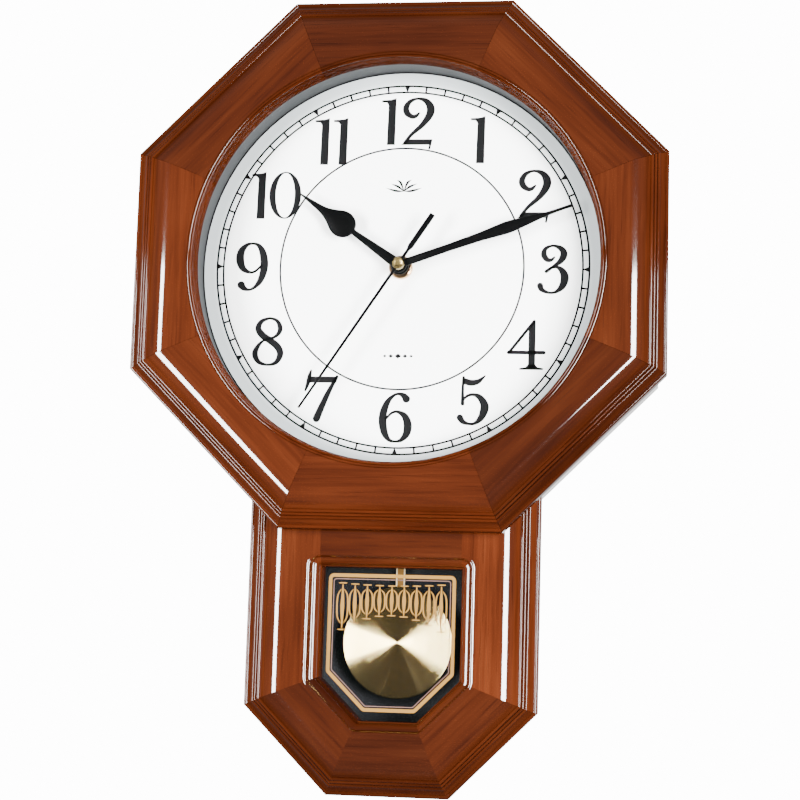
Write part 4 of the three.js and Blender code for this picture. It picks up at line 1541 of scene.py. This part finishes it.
@dataclass
class Window:
    """The gilt print on the back of the window glass and the black chamber."""

    layout: Layout
    border_half: float = 38.1 * MM
    border_top: float = -304.8 * MM
    border_bottom: float = -385.6 * MM
    border_chamfer: float = 22.6 * MM
    balusters: int = 9
    arch_half: float = 29.5 * MM
    bar_half: float = 2.2 * MM
    ink_gap: float = 0.01 * MM
    ink_back: float = 0.06 * MM

    def build(self) -> None:
        """Builds the window print and dresses the chamber."""
        gold, gleam = (0.152, 0.077, 0.0140), (0.187, 0.098, 0.020)
        gilt = Speckled("gilt_print", gold, gleam, 0.5, share=0.2, gloss=0.1).build()
        pale = Speckled("pale_line", (0.10, 0.058, 0.047), (0.12, 0.07, 0.06), 0.5, gloss=0.1).build()
        self.print_border("gilt_border", 0.0, 2.1 * MM, 3.2 * MM, gilt)
        self.print_border("pale_border", 3.0 * MM, 0.42 * MM, 1.6 * MM, pale)
        self.print_ornament(gilt)
        pile, sheen = (0.005, 0.0054, 0.0062), (0.024, 0.0262, 0.0305)
        lining = Speckled("chamber_flock", pile, sheen, 0.7, 1500.0, 0.6, 0.0002, gloss=0.08)
        self.layout.dress("chamber_liner", lining.build())

    def depth(self) -> tuple[float, float]:
        """Returns y of the front and the back of the print."""
        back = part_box("window_glass")[1].y
        return (back + self.ink_gap, back + self.ink_back)

    def print_border(
        self, name: str, inset: float, width: float, rounding: float, finish: bpy.types.Material
    ) -> None:
        """Prints a border line.

        Args:
            name: the piece's name.
            inset: distance in from the outermost line.
            width: width of the line.
            rounding: radius of its outer corners.
            finish: its material.
        """
        edges = []
        for extra, radius in ((inset, rounding), (inset + width, max(rounding - width, 0.3 * MM))):
            half = self.border_half - extra
            leg = self.border_chamfer - extra * (2 - math.sqrt(2))
            corners = chamfered(half, self.border_top - extra, self.border_bottom + extra, leg)
            edges.append(rounded(corners, radius))
        shape = Shape()
        shape.band(*edges, *self.depth(), closed=True)
        shape.finish(name, CASE, "polished_brass", finish, smooth=20)

    def print_ornament(self, gilt: bpy.types.Material) -> None:
        """Prints an arch of slender balusters that grow towards its ends."""
        shape = Shape()
        for i in range(self.balusters):
            u = 2 * i / (self.balusters - 1) - 1
            x = u * self.arch_half
            top = self.border_top - (6.8 - 1.2 * u * u) * MM
            tall = (17.5 + 10.0 * u * u) * MM
            self.add_baluster(shape, x, top, tall)
        shape.finish("gilt_ornament", CASE, "polished_brass", gilt, smooth=20)

    def add_baluster(self, shape: Shape, x: float, top: float, tall: float) -> None:
        """Adds one baluster: a spindle between two small bars, with a loop on each side.

        Args:
            shape: the shape to add to.
            x: its place across the glass.
            top: z of its upper bar.
            tall: its height.
        """
        middle = top - tall / 2
        swell = ((0.04, 0.3), (0.25, 0.75), (0.5, 1.15), (0.75, 0.75), (0.96, 0.3))
        spindle = [(x, top - tall * share, half * MM) for share, half in swell]
        shape.band(*pen_edges(spline(spindle, 6)), *self.depth())
        for z in (top, top - tall):
            ends = [(x + side * self.bar_half, z, 0.3 * MM) for side in (-1, 1)]
            bar = [ends[0], (x, z, 0.42 * MM), ends[1]]
            shape.band(*pen_edges(bar), *self.depth())
        for side in (-1, 1):
            curve = ((1.0, 0.36, 0.2), (3.0, 0.2, 0.45), (3.0, -0.2, 0.45), (1.0, -0.36, 0.2))
            bow = [(x + side * out * MM, middle + tall * up, half * MM) for out, up, half in curve]
            shape.band(*pen_edges(spline(bow, 6)), *self.depth())


def rounded(corners: Sequence[Flat], radius: float, steps: int = 6) -> list[Flat]:
    """Returns a clockwise outline with its corners rounded.

    Args:
        corners: the sharp corners.
        radius: the radius of each corner.
        steps: spans on each corner.

    Returns:
        The rounded outline.
    """
    outline: list[Flat] = []
    count = len(corners)
    for i, corner in enumerate(corners):
        here = Vector(corner)
        back = (Vector(corners[i - 1]) - here).normalized()
        on = (Vector(corners[(i + 1) % count]) - here).normalized()
        bend = back.angle(on)
        reach = radius / math.tan(bend / 2)
        middle = here + (back + on).normalized() * (radius / math.sin(bend / 2))
        start, end = here + back * reach - middle, here + on * reach - middle
        for k in range(steps + 1):
            direction = start.lerp(end, k / steps).normalized()
            outline.append(tuple(middle + direction * radius))
    return outline


# ---- Case, back and movement ---------------------------------------------------------------------


@dataclass
class Case:
    """Finishes of the case's sides, boards, fastenings and movement."""

    layout: Layout

    def build(self) -> None:
        """Dresses the CAD nodes that keep their shape."""
        centre = self.layout.centre.z
        around = StainedWood("wood_head_case", grain=Grain.AROUND, centre=centre, seed=3.3, light_and_tone=0.8)
        self.layout.dress("head_case", around.build())
        self.layout.dress("drop_case", StainedWood("wood_drop_case", 0.0, seed=5.9, light_and_tone=0.8).build())
        brown, straw = (0.22, 0.135, 0.07), (0.33, 0.22, 0.125)
        board = Speckled("pressed_board", brown, straw, 0.75, scale=420.0, relief=0.00008)
        zinc = Metal("zinc_plate", (0.58, 0.585, 0.60), 0.32)
        rubber = Speckled("soft_rubber", (0.012, 0.012, 0.012), (0.03, 0.03, 0.03), 0.8)
        black, grey = (0.014, 0.014, 0.015), (0.035, 0.035, 0.037)
        housing = Speckled("movement_housing", black, grey, 0.42, relief=0.00004)
        nylon = Speckled("natural_nylon", (0.72, 0.69, 0.60), (0.80, 0.77, 0.68), 0.45, relief=0.00001)
        brass = Metal("wheel_brass", (0.75, 0.56, 0.25), 0.25, (1, 1, 1))
        copper = Metal("coil_copper", (0.62, 0.27, 0.12), 0.3, (0.05, 1, 1))
        mask = Speckled("solder_mask", (0.015, 0.10, 0.04), (0.03, 0.16, 0.07), 0.3, scale=300.0)
        jacket = Speckled("cell_sleeve", (0.03, 0.07, 0.24), (0.04, 0.09, 0.30), 0.25, coat=0.5)
        groups: list[tuple[object, tuple[str, ...]]] = [
            (board, ("head_backboard", "drop_backboard")),
            (zinc, ("hanger_plate", "hanger_screw_left", "hanger_screw_right", "dial_clip_left",
                    "dial_clip_right", "stator", "quartz_crystal", "battery_contact_positive",
                    "battery_contact_negative", "rotor", *(f"backboard_screw_{i}" for i in range(1, 5)))),
            (rubber, ("wall_pad_left", "wall_pad_right", "rubber_washer")),
            (housing, ("movement_case_front", "movement_case_back")),
            (nylon, ("train_bridge", "motion_wheel", "setting_knob", "third_wheel", "second_wheel",
                     "intermediate_wheel")),
            (brass, ("centre_wheel", "centre_pipe", "hour_wheel")),
            (copper, ("drive_coil",)),
            (mask, ("circuit_board",)),
            (jacket, ("battery",)),
        ]
        for finish, nodes in groups:
            material = finish.build()
            for node in nodes:
                self.layout.dress(node, material)
            LOG.info("%s on %d nodes", material.name, len(nodes))


# ---- Studio --------------------------------------------------------------------------------------


@dataclass
class Studio:
    """Floor, soft lights, white surroundings and the camera."""

    layout: Layout
    lens: float = 85.79
    sensor: float = 36.0
    near: float = 50 * MM
    eye: tuple[float, float, float] = (154.68 * MM, -1174.2 * MM, -354.7 * MM)
    yaw: float = 0.135557
    pitch: float = 0.135325
    roll: float = -0.0300454
    floor_drop: float = 1200 * MM
    floor_half: float = 600 * MM
    white: float = 14.0
    front_glow: float = 0.17
    back_glow: float = 2.6
    fade: Flat = (0.2, 0.9)

    def build(self) -> None:
        """Builds the studio."""
        self.add_camera()
        self.add_floor()
        self.add_world()
        target = self.layout.centre + Vector((0.0, 0.0, -80 * MM))
        self.add_light("softbox_left", (-1.20, -1.40, -0.34), target, (0.5, 1.15), 200.0)
        self.add_light("softbox_right", (1.08, -1.43, -0.28), target, (0.62, 1.0), 245.0)
        self.add_light("overhead", (0.0, -0.6, 2.2), target, (2.4, 1.5), 45.0)

    def add_camera(self) -> None:
        """Places the camera."""
        turn = Matrix.Rotation(self.yaw, 3, "Z") @ Matrix.Rotation(self.pitch, 3, "X")
        turn = turn @ Matrix.Rotation(self.roll, 3, "Y") @ Matrix.Rotation(math.pi / 2, 3, "X")
        data = bpy.data.cameras.new("camera")
        data.lens = self.lens
        data.sensor_width = self.sensor
        data.clip_start = self.near
        camera = bpy.data.objects.new("camera", data)
        camera.matrix_world = Matrix.Translation(self.eye) @ turn.to_4x4()
        bpy.context.scene.collection.objects.link(camera)
        bpy.context.scene.camera = camera

    def add_floor(self) -> None:
        """Lays a plain pale floor under the clock."""
        z = self.layout.drop_bottom - self.floor_drop
        half = self.floor_half
        corners = [(-half, -half, z), (half, -half, z), (half, half, z), (-half, half, z)]
        data = bpy.data.meshes.new("floor")
        data.from_pydata(corners, [], [(0, 1, 2, 3)])
        floor = bpy.data.objects.new("floor", data)
        paint = Speckled("floor_paint", (0.82, 0.82, 0.82), (0.86, 0.86, 0.86), 0.7, scale=60.0)
        data.materials.append(paint.build())
        bpy.context.scene.collection.objects.link(floor)
        floor.visible_glossy = False

    def add_world(self) -> None:
        """Gives plain white surroundings that light the clock softly."""
        world = bpy.data.worlds.new("studio")
        bpy.context.scene.world = world
        world.use_nodes = True
        tree = world.node_tree
        background = tree.nodes["Background"]
        path = tree.nodes.new("ShaderNodeLightPath")
        strength = tree.nodes.new("ShaderNodeMapRange")
        strength.inputs["To Max"].default_value = self.white
        direction = tree.nodes.new("ShaderNodeTexCoord")
        split = tree.nodes.new("ShaderNodeSeparateXYZ")
        behind = tree.nodes.new("ShaderNodeMapRange")
        behind.interpolation_type = "SMOOTHSTEP"
        sockets = ("From Min", "From Max", "To Min", "To Max")
        for socket, value in zip(sockets, (*self.fade, self.front_glow, self.back_glow)):
            behind.inputs[socket].default_value = value
        tree.links.new(direction.outputs["Generated"], split.inputs[0])
        tree.links.new(split.outputs[1], behind.inputs["Value"])
        tree.links.new(behind.outputs["Result"], strength.inputs["To Min"])
        tree.links.new(path.outputs["Is Camera Ray"], strength.inputs["Value"])
        tree.links.new(strength.outputs["Result"], background.inputs["Strength"])
        background.inputs["Color"].default_value = (1.0, 1.0, 1.0, 1.0)

    def add_light(
        self, name: str, spot: tuple[float, float, float], target: Vector, size: Flat, power: float
    ) -> None:
        """Adds a rectangular light.

        Args:
            name: its name.
            spot: its place.
            target: what it points at.
            size: its width and height.
            power: its power in watts.
        """
        data = bpy.data.lights.new(name, "AREA")
        data.shape = "RECTANGLE"
        data.size, data.size_y = size
        data.energy = power
        light = bpy.data.objects.new(name, data)
        light.location = spot
        light.visible_glossy = name != "overhead"
        light.rotation_euler = (target - Vector(spot)).to_track_quat("-Z", "Y").to_euler()
        bpy.context.scene.collection.objects.link(light)


def main() -> None:
    """Builds the clock's looks around the frame."""
    logging.basicConfig(level=logging.INFO, format="%(name)s: %(message)s")
    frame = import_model()
    layout = Layout.read(frame["nodes"])
    builders: list[Callable[[], None]] = [
        Studio(layout).build,
        Bezel(layout).build,
        DropFrame(layout).build,
        Dial(layout).build,
        Hands(layout).build,
        Pendulum(layout).build,
        Window(layout).build,
        Case(layout).build,
    ]
    for build in builders:
        build()
    LOG.info("%d CAD nodes in the frame", len(frame["nodes"]))


if __name__ == "__main__":
    main()
